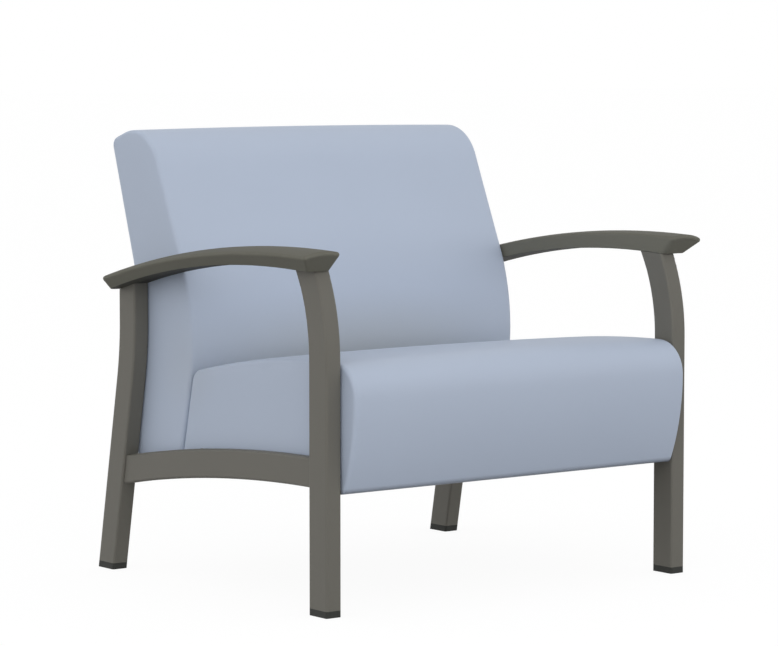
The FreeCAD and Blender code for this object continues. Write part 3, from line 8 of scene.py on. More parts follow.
import bpy
import bmesh
import numpy as np
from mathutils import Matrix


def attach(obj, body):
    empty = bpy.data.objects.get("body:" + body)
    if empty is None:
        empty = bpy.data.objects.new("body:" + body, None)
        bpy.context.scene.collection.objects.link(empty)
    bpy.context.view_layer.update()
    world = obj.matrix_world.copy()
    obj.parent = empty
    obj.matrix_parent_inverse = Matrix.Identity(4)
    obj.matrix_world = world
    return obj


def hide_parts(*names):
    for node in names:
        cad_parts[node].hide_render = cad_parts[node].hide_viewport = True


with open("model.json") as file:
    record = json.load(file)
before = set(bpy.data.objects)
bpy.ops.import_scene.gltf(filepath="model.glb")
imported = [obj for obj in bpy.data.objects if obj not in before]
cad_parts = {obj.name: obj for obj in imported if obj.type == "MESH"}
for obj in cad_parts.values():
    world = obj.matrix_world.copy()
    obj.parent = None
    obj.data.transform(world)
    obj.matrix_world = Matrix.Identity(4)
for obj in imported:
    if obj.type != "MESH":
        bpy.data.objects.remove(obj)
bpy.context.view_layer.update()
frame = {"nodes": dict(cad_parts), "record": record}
nodes = frame["nodes"]
scene = bpy.context.scene
scene.view_settings.view_transform = "Standard"


# Shader values written as sums

class Value:
    """An output of a shader node, written in sums: each operator adds one Math node."""

    def __init__(self, paint, socket):
        self.paint = paint
        self.socket = socket

    def math(self, operation, first, second):
        return self.paint.node("Math", {"operation": operation}, {0: first, 1: second})

    def __add__(self, other):
        return self.math("ADD", self, other)

    def __radd__(self, other):
        return self.math("ADD", other, self)

    def __rsub__(self, other):
        return self.math("SUBTRACT", other, self)

    def __mul__(self, other):
        return self.math("MULTIPLY", self, other)


class Paint:
    """A node tree being built: a material's, or the world's."""

    def __init__(self, tree):
        self.tree = tree
        tree.nodes.clear()

    def node(self, kind, settings, sockets, output=0):
        """Add a node: its settings first, then its sockets' values or links."""
        node = self.tree.nodes.new("ShaderNode" + kind)
        for name, setting in settings.items():
            setattr(node, name, setting)
        for name, value in sockets.items():
            if isinstance(value, Value):
                self.tree.links.new(value.socket, node.inputs[name])
            else:
                node.inputs[name].default_value = value
        return Value(self, node.outputs[output]) if node.outputs else None

    def place(self, stretch=(1.0, 1.0, 1.0)):
        """Object coordinates, stretched."""
        where = self.node("TexCoord", {}, {}, "Object")
        return self.node("Mapping", {}, {"Vector": where, "Scale": stretch})

    def noise(self, where, scale, detail=2.0, roughness=0.5):
        return self.node("TexNoise", {}, {"Vector": where, "Scale": scale, "Detail": detail,
                                          "Roughness": roughness})

    def tint(self, amount, first, second):
        """A colour between two, by an amount from 0 to 1."""
        return self.node("Mix", {"data_type": "RGBA"}, {0: amount, 6: first, 7: second}, 2)

    def bump(self, height, distance, strength):
        return self.node("Bump", {}, {"Height": height, "Distance": distance, "Strength": strength})


def colour(red, green, blue):
    """A colour given as a screen shows it, from 0 to 255, made linear."""
    def linear(level):
        level /= 255
        return level / 12.92 if level <= 0.04045 else ((level + 0.055) / 1.055) ** 2.4
    return (linear(red), linear(green), linear(blue), 1.0)


def shaded(tone, factor):
    """A colour made lighter or darker."""
    return tuple(level * factor for level in tone[:3]) + (1.0,)


def finish(name, build):
    """A material whose surface is a Principled shader with the sockets that build(paint) gives."""
    material = bpy.data.materials.new(name)
    material.use_nodes = True
    paint = Paint(material.node_tree)
    surface = paint.node("BsdfPrincipled", {}, build(paint))
    paint.node("OutputMaterial", {}, {"Surface": surface})
    return material


# Finishes

VINYL = colour(178, 189, 207)
# Painted shade: a greyer, darker vinyl for the crevice between seat and back.
CREVICE_SHADE_VINYL = colour(168, 175, 184)
FRAME = colour(107, 105, 98)
# Painted shade: the dark colour the arm bars get under the arms.
ARM_BAR_SHADE = colour(58, 57, 55)
ARM = colour(108, 107, 98)
GLIDE = colour(56, 57, 54)
ZINC = colour(190, 190, 186)
PLY = colour(196, 160, 112)
BACKING = colour(34, 34, 36)
FOAM = colour(226, 218, 190)
# Painted shade: the band along the vinyl's hem where the cover turns under.
HEM_SHADE_BAND = (0.211, 0.222)
# Painted shade: the arm's underside, picked out by normals facing down.
UNDERSIDE_SHADE_NORMALS = (-0.92, -0.82)
# Painted shade on the arm's top, picked out by normals facing up.
TOP_SHADE_NORMALS = (0.0, 0.9)
# Painted shade: where it lies along the seat-back crevice, and how far it reaches.
CREVICE = (0.0, 0.125, 0.395)
CREVICE_ENDS = 0.26
CREVICE_SHADE_REACH = (0.01, 0.15)


def vinyl(paint):
    """Coated upholstery: pebbled grain about 1 mm across, soft unevenness, satin.

    It has painted shade in a band at the hem, and a greyer painted shade where the seat meets the back.
    """
    where = paint.place()
    pebbles = paint.node("TexVoronoi", {"feature": "SMOOTH_F1"}, {"Vector": where, "Scale": 950.0,
                                                                 "Smoothness": 0.6})
    creases = paint.noise(where, 420.0, 3.0)
    cloudy = paint.noise(where, 5.0, 2.0)
    grain = paint.bump(pebbles * 0.7 + creases * 0.3, 0.00006, 0.3)
    height = paint.node("SeparateXYZ", {}, {"Vector": where}, "Z")
    # Painted shade: the vinyl darkens to 0.45 in a band just above the hem.
    out_of_hem_shade = paint.node("MapRange", {}, {"Value": height, "From Min": HEM_SHADE_BAND[0], "From Max": HEM_SHADE_BAND[1]})
    # Painted shade: greyer, darker vinyl near the crevice where the seat meets the back.
    crevice = paint.node("VectorMath", {"operation": "DISTANCE"}, {
        0: paint.place(stretch=(CREVICE_ENDS, 1.0, 1.0)), 1: CREVICE}, "Value")
    out_of_crevice_shade = paint.node("MapRange", {"interpolation_type": "SMOOTHSTEP"}, {
        "Value": crevice, "From Min": CREVICE_SHADE_REACH[0], "From Max": CREVICE_SHADE_REACH[1]})
    tone = paint.tint(out_of_crevice_shade, CREVICE_SHADE_VINYL, paint.tint(cloudy, shaded(VINYL, 0.985), shaded(VINYL, 1.015)))
    return {
        "Base Color": paint.tint(out_of_hem_shade, shaded(VINYL, 0.45), tone),
        "Roughness": 0.48 + creases * 0.1,
        "Specular IOR Level": 0.25,
        "Normal": grain,
    }


def powder_coat(paint, tone=FRAME, gloss=0.25):
    """Satin powder coating: a fine orange peel and specks just lighter and darker than the paint."""
    where = paint.place()
    peel = paint.noise(where, 850.0, 2.0)
    specks = paint.noise(where, 2600.0, 1.0)
    cloudy = paint.noise(where, 7.0, 2.0)
    return {
        "Base Color": paint.tint(specks * 0.6 + cloudy * 0.4, shaded(tone, 0.93), shaded(tone, 1.07)),
        "Roughness": 0.44 + peel * 0.16,
        "Specular IOR Level": gloss,
        "Normal": paint.bump(peel, 0.00005, 0.25),
    }


def moulded_arm(paint):
    """Self-skinned urethane near the frame's colour, softly peeled.

    It has painted shade on top, a painted lighter tone on its sides, and painted shade where it faces down.
    """
    where = paint.place()
    skin = paint.noise(where, 520.0, 3.0)
    cloudy = paint.noise(where, 9.0, 2.0)
    upward = paint.node("SeparateXYZ", {}, {"Vector": paint.node("TexCoord", {}, {}, "Normal")}, "Z")
    # Painted shade: the arm is 0.4 as bright where it faces down.
    out_of_underside_shade = paint.node("MapRange", {}, {"Value": upward, "From Min": UNDERSIDE_SHADE_NORMALS[0], "From Max": UNDERSIDE_SHADE_NORMALS[1]})
    # Painted shade: the top darker at 0.86, the sides painted lighter at 1.04 to 1.12 with random clouds.
    top_painted_shade = paint.node("MapRange", {}, {"Value": upward, "From Min": TOP_SHADE_NORMALS[0], "From Max": TOP_SHADE_NORMALS[1]})
    sides_painted_lighter = paint.tint(cloudy, shaded(ARM, 1.04), shaded(ARM, 1.12))
    tone = paint.tint(top_painted_shade, sides_painted_lighter, shaded(ARM, 0.86))
    return {
        "Base Color": paint.tint(out_of_underside_shade, shaded(ARM, 0.4), tone),
        "Roughness": 0.58 + skin * 0.14,
        "Specular IOR Level": 0.08,
        "Normal": paint.bump(skin, 0.00005, 0.25),
    }


def glide_plastic(paint):
    """Dark moulded plastic with a spark-eroded skin and pale scuffs."""
    where = paint.place()
    skin = paint.noise(where, 1500.0, 2.0)
    scuffs = paint.noise(paint.place(stretch=(1.0, 1.0, 6.0)), 120.0, 4.0, 0.7)
    return {
        "Base Color": paint.tint(scuffs, shaded(GLIDE, 0.85), shaded(GLIDE, 1.15)),
        "Roughness": 0.5 + skin * 0.2,
        "Specular IOR Level": 0.2,
        "Normal": paint.bump(skin, 0.00006, 0.3),
    }


def zinc_plate(paint):
    """Zinc-plated steel: bright, clouded, finely scratched."""
    where = paint.place()
    cloudy = paint.noise(where, 180.0, 3.0)
    scratches = paint.noise(paint.place(stretch=(1.0, 12.0, 12.0)), 500.0, 2.0)
    return {
        "Base Color": paint.tint(cloudy, shaded(ZINC, 0.85), ZINC),
        "Metallic": 1.0,
        "Roughness": 0.28 + scratches * 0.2,
        "Normal": paint.bump(scratches, 0.00002, 0.2),
    }


def plywood(paint):
    """Birch plywood: long faint grain and darker flecks."""
    grain = paint.noise(paint.place(stretch=(1.0, 14.0, 14.0)), 14.0, 6.0, 0.6)
    flecks = paint.noise(paint.place(stretch=(4.0, 40.0, 40.0)), 30.0, 3.0)
    return {
        "Base Color": paint.tint(grain * 0.7 + flecks * 0.3, shaded(PLY, 0.72), shaded(PLY, 1.12)),
        "Roughness": 0.6 + grain * 0.2,
        "Normal": paint.bump(flecks, 0.0001, 0.3),
    }


def woven_backing(paint):
    """Black woven backing: threads 1.2 mm apart that cross over and under."""
    where = paint.place()
    along = paint.node("TexWave", {"bands_direction": "X"}, {"Vector": where, "Scale": 260.0})
    across = paint.node("TexWave", {"bands_direction": "Y"}, {"Vector": where, "Scale": 260.0})
    fuzz = paint.noise(where, 1800.0, 2.0)
    threads = along * across
    return {
        "Base Color": paint.tint(threads * 0.7 + fuzz * 0.3, shaded(BACKING, 0.5), shaded(BACKING, 1.4)),
        "Roughness": 0.8 + fuzz * 0.15,
        "Normal": paint.bump(threads, 0.0003, 0.5),
    }


def open_foam(paint):
    """Cream polyurethane foam with open cells about 1.5 mm across."""
    where = paint.place()
    cells = paint.node("TexVoronoi", {}, {"Vector": where, "Scale": 650.0})
    return {
        "Base Color": paint.tint(cells, shaded(FOAM, 0.75), FOAM),
        "Roughness": 0.85 + cells * 0.1,
        "Normal": paint.bump(cells, 0.0006, 0.5),
    }


FINISHES = {
    "vinyl": finish("smooth_vinyl", vinyl),
    "frame_paint": finish("powder_coat", powder_coat),
    "arm_cap": finish("moulded_arm", moulded_arm),
    "glide_plastic": finish("glide_plastic", glide_plastic),
    "zinc_steel": finish("zinc_plate", zinc_plate),
    "plywood": finish("plywood", plywood),
    "woven_backing": finish("woven_backing", woven_backing),
    "foam": finish("open_foam", open_foam),
}

for subpart in frame["record"]["subparts"]:
    node = nodes[subpart["node"]]
    node.data.materials.clear()
    node.data.materials.append(FINISHES[subpart["material_slot"]])
# Painted shade: the arm bars under the arms are made dark to stand for the shade there.
arm_bar_shade = finish("arm_bar_painted_shade", lambda paint: powder_coat(paint, ARM_BAR_SHADE, 0.02))
for side in ("left", "right"):
    nodes["arm_bar_" + side].data.materials[0] = arm_bar_shade


# Cushion forms: side views carried across the width

HALF_WIDTH = 0.379
EDGE_ROUND = 0.007
CROWN = 0.004
COVER = 0.0015
LUMBAR = (0.1172, 0.430)
LUMBAR_RADIUS = 0.400
WAIST_RADIUS = 0.286
WAIST_LEAN = math.radians(12.7)
SEAT_GAP = 0.005
NOSE = (-0.3206, 0.3773)
NOSE_RADIUS = 0.061
SEAT_TOP_RADIUS = 1.960
SEAT_FRONT_RADIUS = 0.423
SEAT_REAR_ROUND = 0.028
SEAT_HEM_ROUND = 0.012
SKIRT_Z = 0.211
SIDE_HEM_Z = 0.22425
SKIRT_REAR_Y = -0.3187
BACK_REAR_Y = 0.3015
KNEE_Z = 0.544
KNEE_RADIUS = 0.300
RECLINE = math.radians(17.5)
HEAD = (0.3124, 0.7323)
HEAD_RADIUS = 0.092
TOP_SLOPE = math.radians(18.0)
TOP_CORNER = 0.016
BACK_HEM_Z = 0.21064
CROSS_RAIL_Y = (-0.250, 0.060)
CROSS_RAIL_DEPTH = 0.050
CROSS_RAIL_TOP = 0.250
SLOT_ROOM = 0.001
SLOT_REACH = 0.050
SLOT_HALF_HEIGHT = 0.020

# Steps of the cushions' meshes, in the order of their outlines

REAR_STEPS = 20
REAR_ROUND_STEPS = 4
SEAT_TOP_STEPS = 46
NOSE_STEPS = 6
SEAT_FRONT_STEPS = 14
SEAT_HEM_STEPS = 3
FOOT_STEPS = 17
WAIST_STEPS = 8
LUMBAR_STEPS = 14
BACK_FRONT_STEPS = 20
HEAD_STEPS = 9
BACK_TOP_STEPS = 5
TOP_CORNER_STEPS = 3
RECLINE_STEPS = 22
KNEE_STEPS = 10
UPRIGHT_STEPS = 33
RIM_STEPS = 5
WIDTH_STEPS = 52

# The cover as cloth

HEM_HELD = 0.012
CLOTH_STEPS = 20
FOAM_PRESSURE = 0.25
BELLY = 0.002
SINK = 0.0004


def straight(start, end, count):
    """Points start + t (end - start), t from 0 up to but not at 1, for a column of lines."""
    share = np.arange(count) / count
    start, end = np.stack(np.broadcast_arrays(*start), -1), np.stack(np.broadcast_arrays(*end), -1)
    return start[:, None] + (end - start)[:, None] * share[None, :, None]


def bend(centre, radius, first, last, count):
    """Points centre + radius (cos a, sin a), a from first up to but not at last, for a column of arcs."""
    share = np.arange(count) / count
    centre = np.stack(np.broadcast_arrays(*centre, radius)[:2], -1)
    first, last, radius = (np.broadcast_to(value, centre.shape[:1]) for value in (first, last, radius))
    angle = first[:, None] + (last - first)[:, None] * share
    reach = radius[:, None]
    return centre[:, None] + np.stack([reach * np.cos(angle), reach * np.sin(angle)], -1)


def seat_outline(inset, crown):
    """Side view of the seat from its rear hem, over the top and the nose, to the turned-under skirt.

    The rear line leans with the back. A small round, the long top arc, the nose, the front's bulge
    and the hem follow, each tangent to the last; inset moves them all inwards, crown lifts the nose.
    """
    nose_y, nose_z = NOSE[0] - crown / 2, NOSE[1] + crown
    nose, top, front = NOSE_RADIUS - inset, SEAT_TOP_RADIUS - inset, SEAT_FRONT_RADIUS - inset
    rear_round, hem = SEAT_REAR_ROUND - inset, SEAT_HEM_ROUND - inset
    top_z = nose_z + nose - top
    front_y = nose_y - nose + front
    lean_cosine, lean_sine = math.cos(WAIST_LEAN), math.sin(WAIST_LEAN)
    reach = WAIST_RADIUS + SEAT_GAP + inset + rear_round
    line_y = LUMBAR[0] + WAIST_RADIUS - reach * lean_cosine
    line_z = LUMBAR[1] - reach * lean_sine
    away_y, away_z = line_y - nose_y, line_z - top_z
    along = away_y * lean_sine - away_z * lean_cosine
    climb = along + np.sqrt(along ** 2 - away_y ** 2 - away_z ** 2 + (top - rear_round) ** 2)
    round_y, round_z = line_y - climb * lean_sine, line_z + climb * lean_cosine
    top_angle = np.arctan2(round_z - top_z, round_y - nose_y)
    hem_z = SKIRT_Z + hem
    hem_y = front_y - np.sqrt((front - hem) ** 2 - (hem_z - nose_z) ** 2)
    hem_angle = np.arctan2(hem_z - nose_z, hem_y - front_y) % (2 * math.pi)
    start_y, start_z = round_y + rear_round * lean_cosine, round_z + rear_round * lean_sine
    foot_y = start_y + (start_z - SIDE_HEM_Z) * math.tan(WAIST_LEAN)
    corner = (WAIST_LEAN + top_angle) / 2
    skirt_y = np.full_like(hem_y, SKIRT_REAR_Y)
    quarter = math.pi / 4
    return np.concatenate([
        straight((foot_y, SIDE_HEM_Z), (start_y, start_z), REAR_STEPS),
        bend((round_y, round_z), rear_round, WAIST_LEAN, corner, REAR_ROUND_STEPS),
        bend((round_y, round_z), rear_round, corner, top_angle, REAR_ROUND_STEPS),
        bend((nose_y, top_z), top, top_angle, math.pi / 2, SEAT_TOP_STEPS),
        bend((nose_y, nose_z), nose, math.pi / 2, 3 * quarter, NOSE_STEPS),
        bend((nose_y, nose_z), nose, 3 * quarter, math.pi, NOSE_STEPS),
        bend((front_y, nose_z), front, math.pi, hem_angle, SEAT_FRONT_STEPS),
        bend((hem_y, hem_z), hem, hem_angle, 1.5 * math.pi, SEAT_HEM_STEPS),
        straight((hem_y, SKIRT_Z), (skirt_y, SKIRT_Z), 1),
        straight((skirt_y, SKIRT_Z), (skirt_y, SKIRT_Z), 1),
    ], axis=1)


def back_outline(inset, crown):
    """Side view of the back from its front hem, over the head, down the bent rear to the rear hem.

    A leaning line, the waist and lumbar arcs, the straight front, the rounded head, the sloping top,
    a corner, the reclined rear, its knee and the upright rear, tangent to one another; inset moves
    them all inwards, crown pushes the front out.
    """
    lumbar_y, head_y, head_z = LUMBAR[0] - crown, HEAD[0] - crown, HEAD[1] + crown / 2
    waist, lumbar, head = WAIST_RADIUS - inset, LUMBAR_RADIUS - inset, HEAD_RADIUS - inset
    corner, knee = TOP_CORNER - inset, KNEE_RADIUS + inset
    rise = head_z - LUMBAR[1]
    run = lumbar_y + LUMBAR_RADIUS - head_y
    lean = np.arctan2(rise, run) - np.arccos((LUMBAR_RADIUS - HEAD_RADIUS) / np.hypot(run, rise))
    waist_y, waist_z = lumbar_y + WAIST_RADIUS, LUMBAR[1]
    low_y, low_z = waist_y - waist * math.cos(WAIST_LEAN), waist_z - waist * math.sin(WAIST_LEAN)
    foot_y = low_y + (low_z - BACK_HEM_Z) * math.tan(WAIST_LEAN)
    front_y = lumbar_y + LUMBAR_RADIUS
    slope_cosine, slope_sine = math.cos(TOP_SLOPE), math.sin(TOP_SLOPE)
    top_y, top_z = head_y + head * slope_sine, head_z + head * slope_cosine
    knee_y = BACK_REAR_Y + KNEE_RADIUS
    knee_z = KNEE_Z - KNEE_RADIUS * math.tan(RECLINE / 2)
    bent_y, bent_z = knee_y - knee * math.cos(RECLINE), knee_z + knee * math.sin(RECLINE)
    up_y, up_z = math.sin(RECLINE), math.cos(RECLINE)
    length = ((bent_y - top_y) * up_z - (bent_z - top_z) * up_y) / math.cos(TOP_SLOPE - RECLINE)
    peak_y, peak_z = top_y + length * slope_cosine, top_z - length * slope_sine
    side = corner * math.tan((math.pi / 2 - TOP_SLOPE + RECLINE) / 2)
    first_y, first_z = peak_y - side * slope_cosine, peak_z + side * slope_sine
    last_y, last_z = peak_y - side * up_y, peak_z - side * up_z
    corner_y, corner_z = first_y - corner * slope_sine, first_z - corner * slope_cosine
    head_start, head_end = math.pi - lean, math.pi / 2 - TOP_SLOPE
    head_split = (head_start + head_end) / 2
    corner_split = (head_end - RECLINE) / 2
    rear_y = knee_y - knee
    return np.concatenate([
        straight((foot_y, BACK_HEM_Z), (low_y, low_z), FOOT_STEPS),
        bend((waist_y, waist_z), waist, math.pi + WAIST_LEAN, math.pi, WAIST_STEPS),
        bend((front_y, waist_z), lumbar, math.pi, math.pi - lean, LUMBAR_STEPS),
        straight((front_y - lumbar * np.cos(lean), waist_z + lumbar * np.sin(lean)),
                 (head_y - head * np.cos(lean), head_z + head * np.sin(lean)), BACK_FRONT_STEPS),
        bend((head_y, head_z), head, head_start, head_split, HEAD_STEPS),
        bend((head_y, head_z), head, head_split, head_end, HEAD_STEPS),
        straight((top_y, top_z), (first_y, first_z), BACK_TOP_STEPS),
        bend((corner_y, corner_z), corner, head_end, corner_split, TOP_CORNER_STEPS),
        bend((corner_y, corner_z), corner, corner_split, -RECLINE, TOP_CORNER_STEPS),
        straight((last_y, last_z), (bent_y, bent_z), RECLINE_STEPS),
        bend((knee_y, knee_z), knee, math.pi - RECLINE, math.pi, KNEE_STEPS),
        straight((rear_y, knee_z), (rear_y, BACK_HEM_Z), UPRIGHT_STEPS),
        straight((rear_y, BACK_HEM_Z), (rear_y, BACK_HEM_Z), 1),
    ], axis=1)


def across():
    """Places across the width: a quarter round at each rim, even steps between, crowned as a parabola.

    On a rim at angle a, x = half - r (1 - cos a) and the side view is inset by r (1 - sin a).
    """
    angle = np.linspace(0, math.pi / 2, RIM_STEPS + 1)
    rim_x = HALF_WIDTH - EDGE_ROUND * (1 - np.cos(angle))
    rim_inset = EDGE_ROUND * (1 - np.sin(angle))
    middle = np.linspace(rim_x[-1], -rim_x[-1], WIDTH_STEPS + 1)[1:-1]
    x = np.concatenate([rim_x, middle, -rim_x[::-1]])
    inset = np.concatenate([rim_inset, np.zeros_like(middle), rim_inset[::-1]])
    return x, inset, CROWN * (1 - (x / HALF_WIDTH) ** 2)


def side_panel(first, top, last, bottom):
    """A patch between four edges: opposite edges blended in turn, less the corners counted twice."""
    s = np.linspace(0, 1, len(bottom))[:, None, None]
    t = np.linspace(0, 1, len(first))[None, :, None]
    ruled = (1 - t) * bottom[:, None] + t * top[:, None] + (1 - s) * first[None] + s * last[None]
    corners = ((1 - s) * (1 - t) * first[0] + s * (1 - t) * last[0]
               + (1 - s) * t * first[-1] + s * t * last[-1])
    return ruled - corners


def grid_faces(rows, columns, start):
    """Quads of a grid whose points are numbered row by row."""
    index = start + np.arange(rows * columns).reshape(rows, columns)
    quads = np.stack([index[:-1, :-1], index[1:, :-1], index[1:, 1:], index[:-1, 1:]], -1)
    return quads.reshape(-1, 4)


def new_piece(name, points, faces, material):
    """An object with a smooth mesh of its own, merged where grids meet."""
    mesh = bpy.data.meshes.new(name)
    mesh.from_pydata(points, [], faces.tolist())
    shell = bmesh.new()
    shell.from_mesh(mesh)
    bmesh.ops.remove_doubles(shell, verts=shell.verts, dist=1e-6)
    bmesh.ops.recalc_face_normals(shell, faces=shell.faces)
    shell.to_mesh(mesh)
    shell.free()
    mesh.shade_smooth()
    mesh.materials.append(material)
    piece = bpy.data.objects.new(name, mesh)
    scene.collection.objects.link(piece)
    return piece


def cushion(name, outline, rise_steps, top_steps, hem_line):
    """A cover open underneath: the side view carried across the width, and two side panels."""
    x, inset, crown = across()
    side_view = outline(inset, crown)
    wrap = np.concatenate([np.broadcast_to(x[:, None, None], side_view.shape[:2] + (1,)), side_view], -1)
    points, faces = [wrap.reshape(-1, 3)], [grid_faces(*wrap.shape[:2], 0)]
    for column in (0, -1):
        loop = side_view[column]
        first = loop[:rise_steps + 1]
        top = loop[rise_steps:rise_steps + top_steps + 1]
        last = loop[rise_steps + top_steps:][::-1]
        panel = side_panel(first, top, last, hem_line(first[0], last[0], top_steps))
        place = np.broadcast_to(x[column], panel.shape[:2] + (1,))
        faces.append(grid_faces(*panel.shape[:2], sum(len(block) for block in points)))
        points.append(np.concatenate([place, panel], -1).reshape(-1, 3))
    return new_piece(name, np.concatenate(points), np.concatenate(faces), FINISHES["vinyl"])


def stepped_hem(start, end, steps):
    """The seat's side hem: level from the rear, then down to the skirt in the last step."""
    level = np.linspace(start, (end[0], start[1]), steps)
    return np.concatenate([level, end[None]])


def level_hem(start, end, steps):
    return np.linspace(start, end, steps + 1)


def places(mesh):
    """A mesh's points as an array."""
    points = np.empty(len(mesh.vertices) * 3, np.float32)
    mesh.vertices.foreach_get("co", points)
    return points.reshape(-1, 3).astype(float)


def swell(piece, hem_z):
    """Let the cover belly out as cloth over the foam, which bears it and stops it from sinking in.

    A move d along the normal becomes c tanh(d / c), with one c for outward and one for inward moves.
    """
    start = places(piece.data)
    outward = np.empty(start.size, np.float32)
    piece.data.vertex_normals.foreach_get("vector", outward)
    outward = outward.reshape(-1, 3)
    held = piece.vertex_groups.new(name="hem")
    held.add(np.flatnonzero(start[:, 2] < hem_z + HEM_HELD).tolist(), 1.0, "REPLACE")
    cloth = piece.modifiers.new("cover", "CLOTH")
    cloth.settings.quality = 6
    cloth.settings.mass = 0.3
    cloth.settings.air_damping = 8
    cloth.settings.tension_stiffness = 40
    cloth.settings.compression_stiffness = 40
    cloth.settings.shear_stiffness = 20
    cloth.settings.bending_stiffness = 4
    cloth.settings.use_pressure = True
    cloth.settings.uniform_pressure_force = FOAM_PRESSURE
    cloth.settings.vertex_group_mass = "hem"
    cloth.settings.effector_weights.gravity = 0
    cloth.collision_settings.use_collision = False
    cloth.collision_settings.use_self_collision = False
    for step in range(1, CLOTH_STEPS + 1):
        scene.frame_set(step)
    graph = bpy.context.evaluated_depsgraph_get()
    moved = places(piece.evaluated_get(graph).data) - start
    piece.modifiers.remove(cloth)
    scene.frame_set(1)
    along = (moved * outward).sum(axis=1, keepdims=True)
    limit = np.where(along > 0, BELLY, SINK)
    eased = start + outward * limit * np.tanh(along / limit)
    piece.data.vertices.foreach_set("co", eased.astype(np.float32).ravel())
    piece.data.update()


def thickened(piece, cutters=()):
    """Smooth the cover, give it its thickness inwards, and cut slots where rails pass."""
    smooth = piece.modifiers.new("smooth", "SUBSURF")
    smooth.levels = smooth.render_levels = 1
    wall = piece.modifiers.new("wall", "SOLIDIFY")
    wall.thickness = COVER
    wall.offset = -1
    for cutter in cutters:
        slot = piece.modifiers.new("slot", "BOOLEAN")
        slot.operation = "DIFFERENCE"
        slot.solver = "EXACT"
        slot.object = cutter
    graph = bpy.context.evaluated_depsgraph_get()
    mesh = bpy.data.meshes.new_from_object(piece.evaluated_get(graph))
    piece.modifiers.clear()
    piece.data = mesh
    for cutter in cutters:
        bpy.data.objects.remove(cutter)
    mesh.shade_smooth()


def rail_slot(y):
    """A block a little larger than a cross rail, to cut the cover with."""
    half = np.array([HALF_WIDTH + SLOT_REACH, CROSS_RAIL_DEPTH / 2 + SLOT_ROOM, SLOT_HALF_HEIGHT])
    centre = np.array([0.0, y, CROSS_RAIL_TOP + SLOT_ROOM - half[2]])
    corners = np.array([[a, b, c] for a in (-1, 1) for b in (-1, 1) for c in (-1, 1)])
    faces = np.array([[0, 1, 3, 2], [4, 6, 7, 5], [0, 4, 5, 1], [2, 3, 7, 6], [0, 2, 6, 4], [1, 5, 7, 3]])
    return new_piece("rail_slot", centre + corners * half, faces, FINISHES["vinyl"])


seat_rise = REAR_STEPS + REAR_ROUND_STEPS
seat_run = REAR_ROUND_STEPS + SEAT_TOP_STEPS + NOSE_STEPS
seat = cushion("seat_cushion", seat_outline, seat_rise, seat_run, stepped_hem)
back_rise = FOOT_STEPS + WAIST_STEPS + LUMBAR_STEPS + BACK_FRONT_STEPS + HEAD_STEPS
back_run = HEAD_STEPS + BACK_TOP_STEPS + TOP_CORNER_STEPS
back = cushion("back_cushion", back_outline, back_rise, back_run, level_hem)
swell(seat, SIDE_HEM_Z)
swell(back, BACK_HEM_Z)
thickened(seat, [rail_slot(y) for y in CROSS_RAIL_Y])
thickened(back)
for piece, node_name in ((seat, "seat_cover"), (back, "back_cover")):
    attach(piece, "root")
    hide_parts(node_name)


# Floor, light and camera

FLOOR_SIZE = 60.0
FLOOR_PALE = 0.35
FLOOR_GLOW = 0.93
FLOOR_FAINT = 0.09
ZENITH_GLOW = 0.47
HORIZON_GLOW = 1.64
LIT_POINT = (0.0, 0.0, 0.4)
OVERHEAD_PLACE = (-0.2, -0.6, 3.4)
OVERHEAD_SIZE = 3.0
OVERHEAD_POWER = 8.5
KEY_PLACE = (-1.8, -2.9, 2.6)
KEY_SIZE = 2.5
KEY_POWER = 18.0
CAMERA_PLACE = (-3.69458, -4.79908, 0.97033)
CAMERA_DIP = math.radians(4.763)
CAMERA_TURN = math.radians(37.479)
SENSOR_WIDTH = 36.0
LENS = 150.91


def seen_rays(paint):
    """1 for rays from the camera, straight or by gloss or glass, so that all of them see the white."""
    camera, glossy, through = (paint.node("LightPath", {}, {}, ray) for ray in
                               ("Is Camera Ray", "Is Glossy Ray", "Is Transmission Ray"))
    return camera.math("MAXIMUM", camera, glossy.math("MAXIMUM", glossy, through))


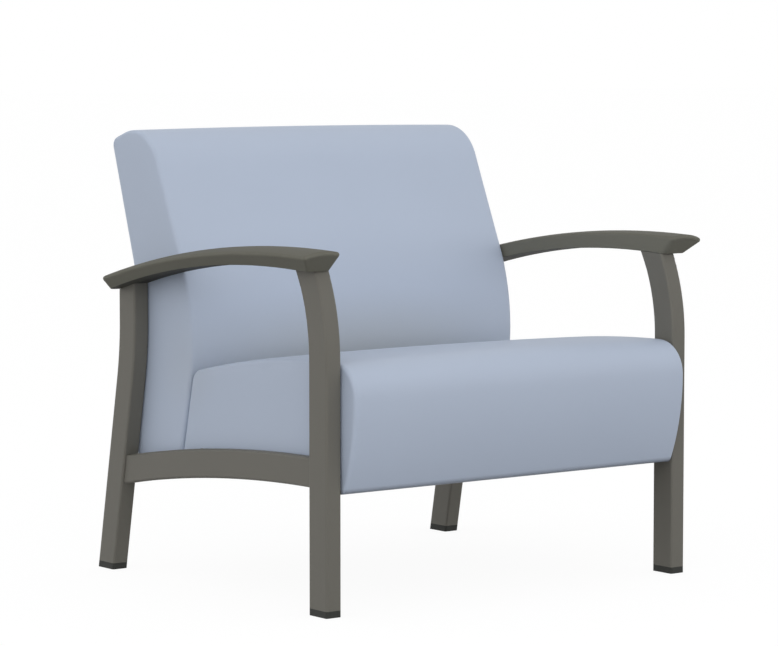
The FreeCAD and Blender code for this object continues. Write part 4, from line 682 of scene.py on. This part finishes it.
def white_floor():
    """White where it is seen, with the chair's shadow faint on it, and pale where it lights the chair."""
    material = bpy.data.materials.new("white_floor")
    material.use_nodes = True
    paint = Paint(material.node_tree)
    pale = paint.node("BsdfDiffuse", {}, {"Color": (FLOOR_PALE,) * 3 + (1.0,)})
    glow = paint.node("Emission", {}, {"Color": (1.0, 1.0, 1.0, 1.0), "Strength": FLOOR_GLOW})
    faint = paint.node("BsdfDiffuse", {}, {"Color": (FLOOR_FAINT,) * 3 + (1.0,)})
    shown = paint.node("AddShader", {}, {0: glow, 1: faint})
    mixed = paint.node("MixShader", {}, {0: seen_rays(paint), 1: pale, 2: shown})
    paint.node("OutputMaterial", {}, {"Surface": mixed})
    return material


floor_corners = np.array([[-1, -1, 0], [1, -1, 0], [1, 1, 0], [-1, 1, 0]]) * FLOOR_SIZE
floor = new_piece("floor", floor_corners, np.array([[0, 1, 2, 3]]), white_floor())

world = bpy.data.worlds.new("studio")
world.use_nodes = True
scene.world = world
sky = Paint(world.node_tree)
low = 1.0 - sky.node("SeparateXYZ", {}, {"Vector": sky.node("TexCoord", {}, {}, "Generated")}, "Z")
around = ZENITH_GLOW + low * low * HORIZON_GLOW
strength = around + seen_rays(sky) * (1.0 - around)
dome = sky.node("Background", {}, {"Color": (1.0, 1.0, 1.0, 1.0), "Strength": strength})
sky.node("OutputWorld", {}, {"Surface": dome})


def lamp(name, place, size, power):
    """A square soft box at a place, turned to face the chair."""
    light = bpy.data.lights.new(name, "AREA")
    light.size = size
    light.energy = power
    holder = bpy.data.objects.new(name, light)
    holder.location = place
    direction = np.array(LIT_POINT) - np.array(place)
    level = math.hypot(direction[0], direction[1])
    holder.rotation_euler = (math.atan2(level, -direction[2]), 0, math.atan2(-direction[0], direction[1]))
    scene.collection.objects.link(holder)


lamp("overhead_box", OVERHEAD_PLACE, OVERHEAD_SIZE, OVERHEAD_POWER)
lamp("key_box", KEY_PLACE, KEY_SIZE, KEY_POWER)

camera = bpy.data.cameras.new("camera")
camera.sensor_fit = "HORIZONTAL"
camera.sensor_width = SENSOR_WIDTH
camera.lens = LENS
viewer = bpy.data.objects.new("camera", camera)
viewer.location = CAMERA_PLACE
viewer.rotation_euler = (math.pi / 2 - CAMERA_DIP, 0, -CAMERA_TURN)
scene.collection.objects.link(viewer)
scene.camera = viewer
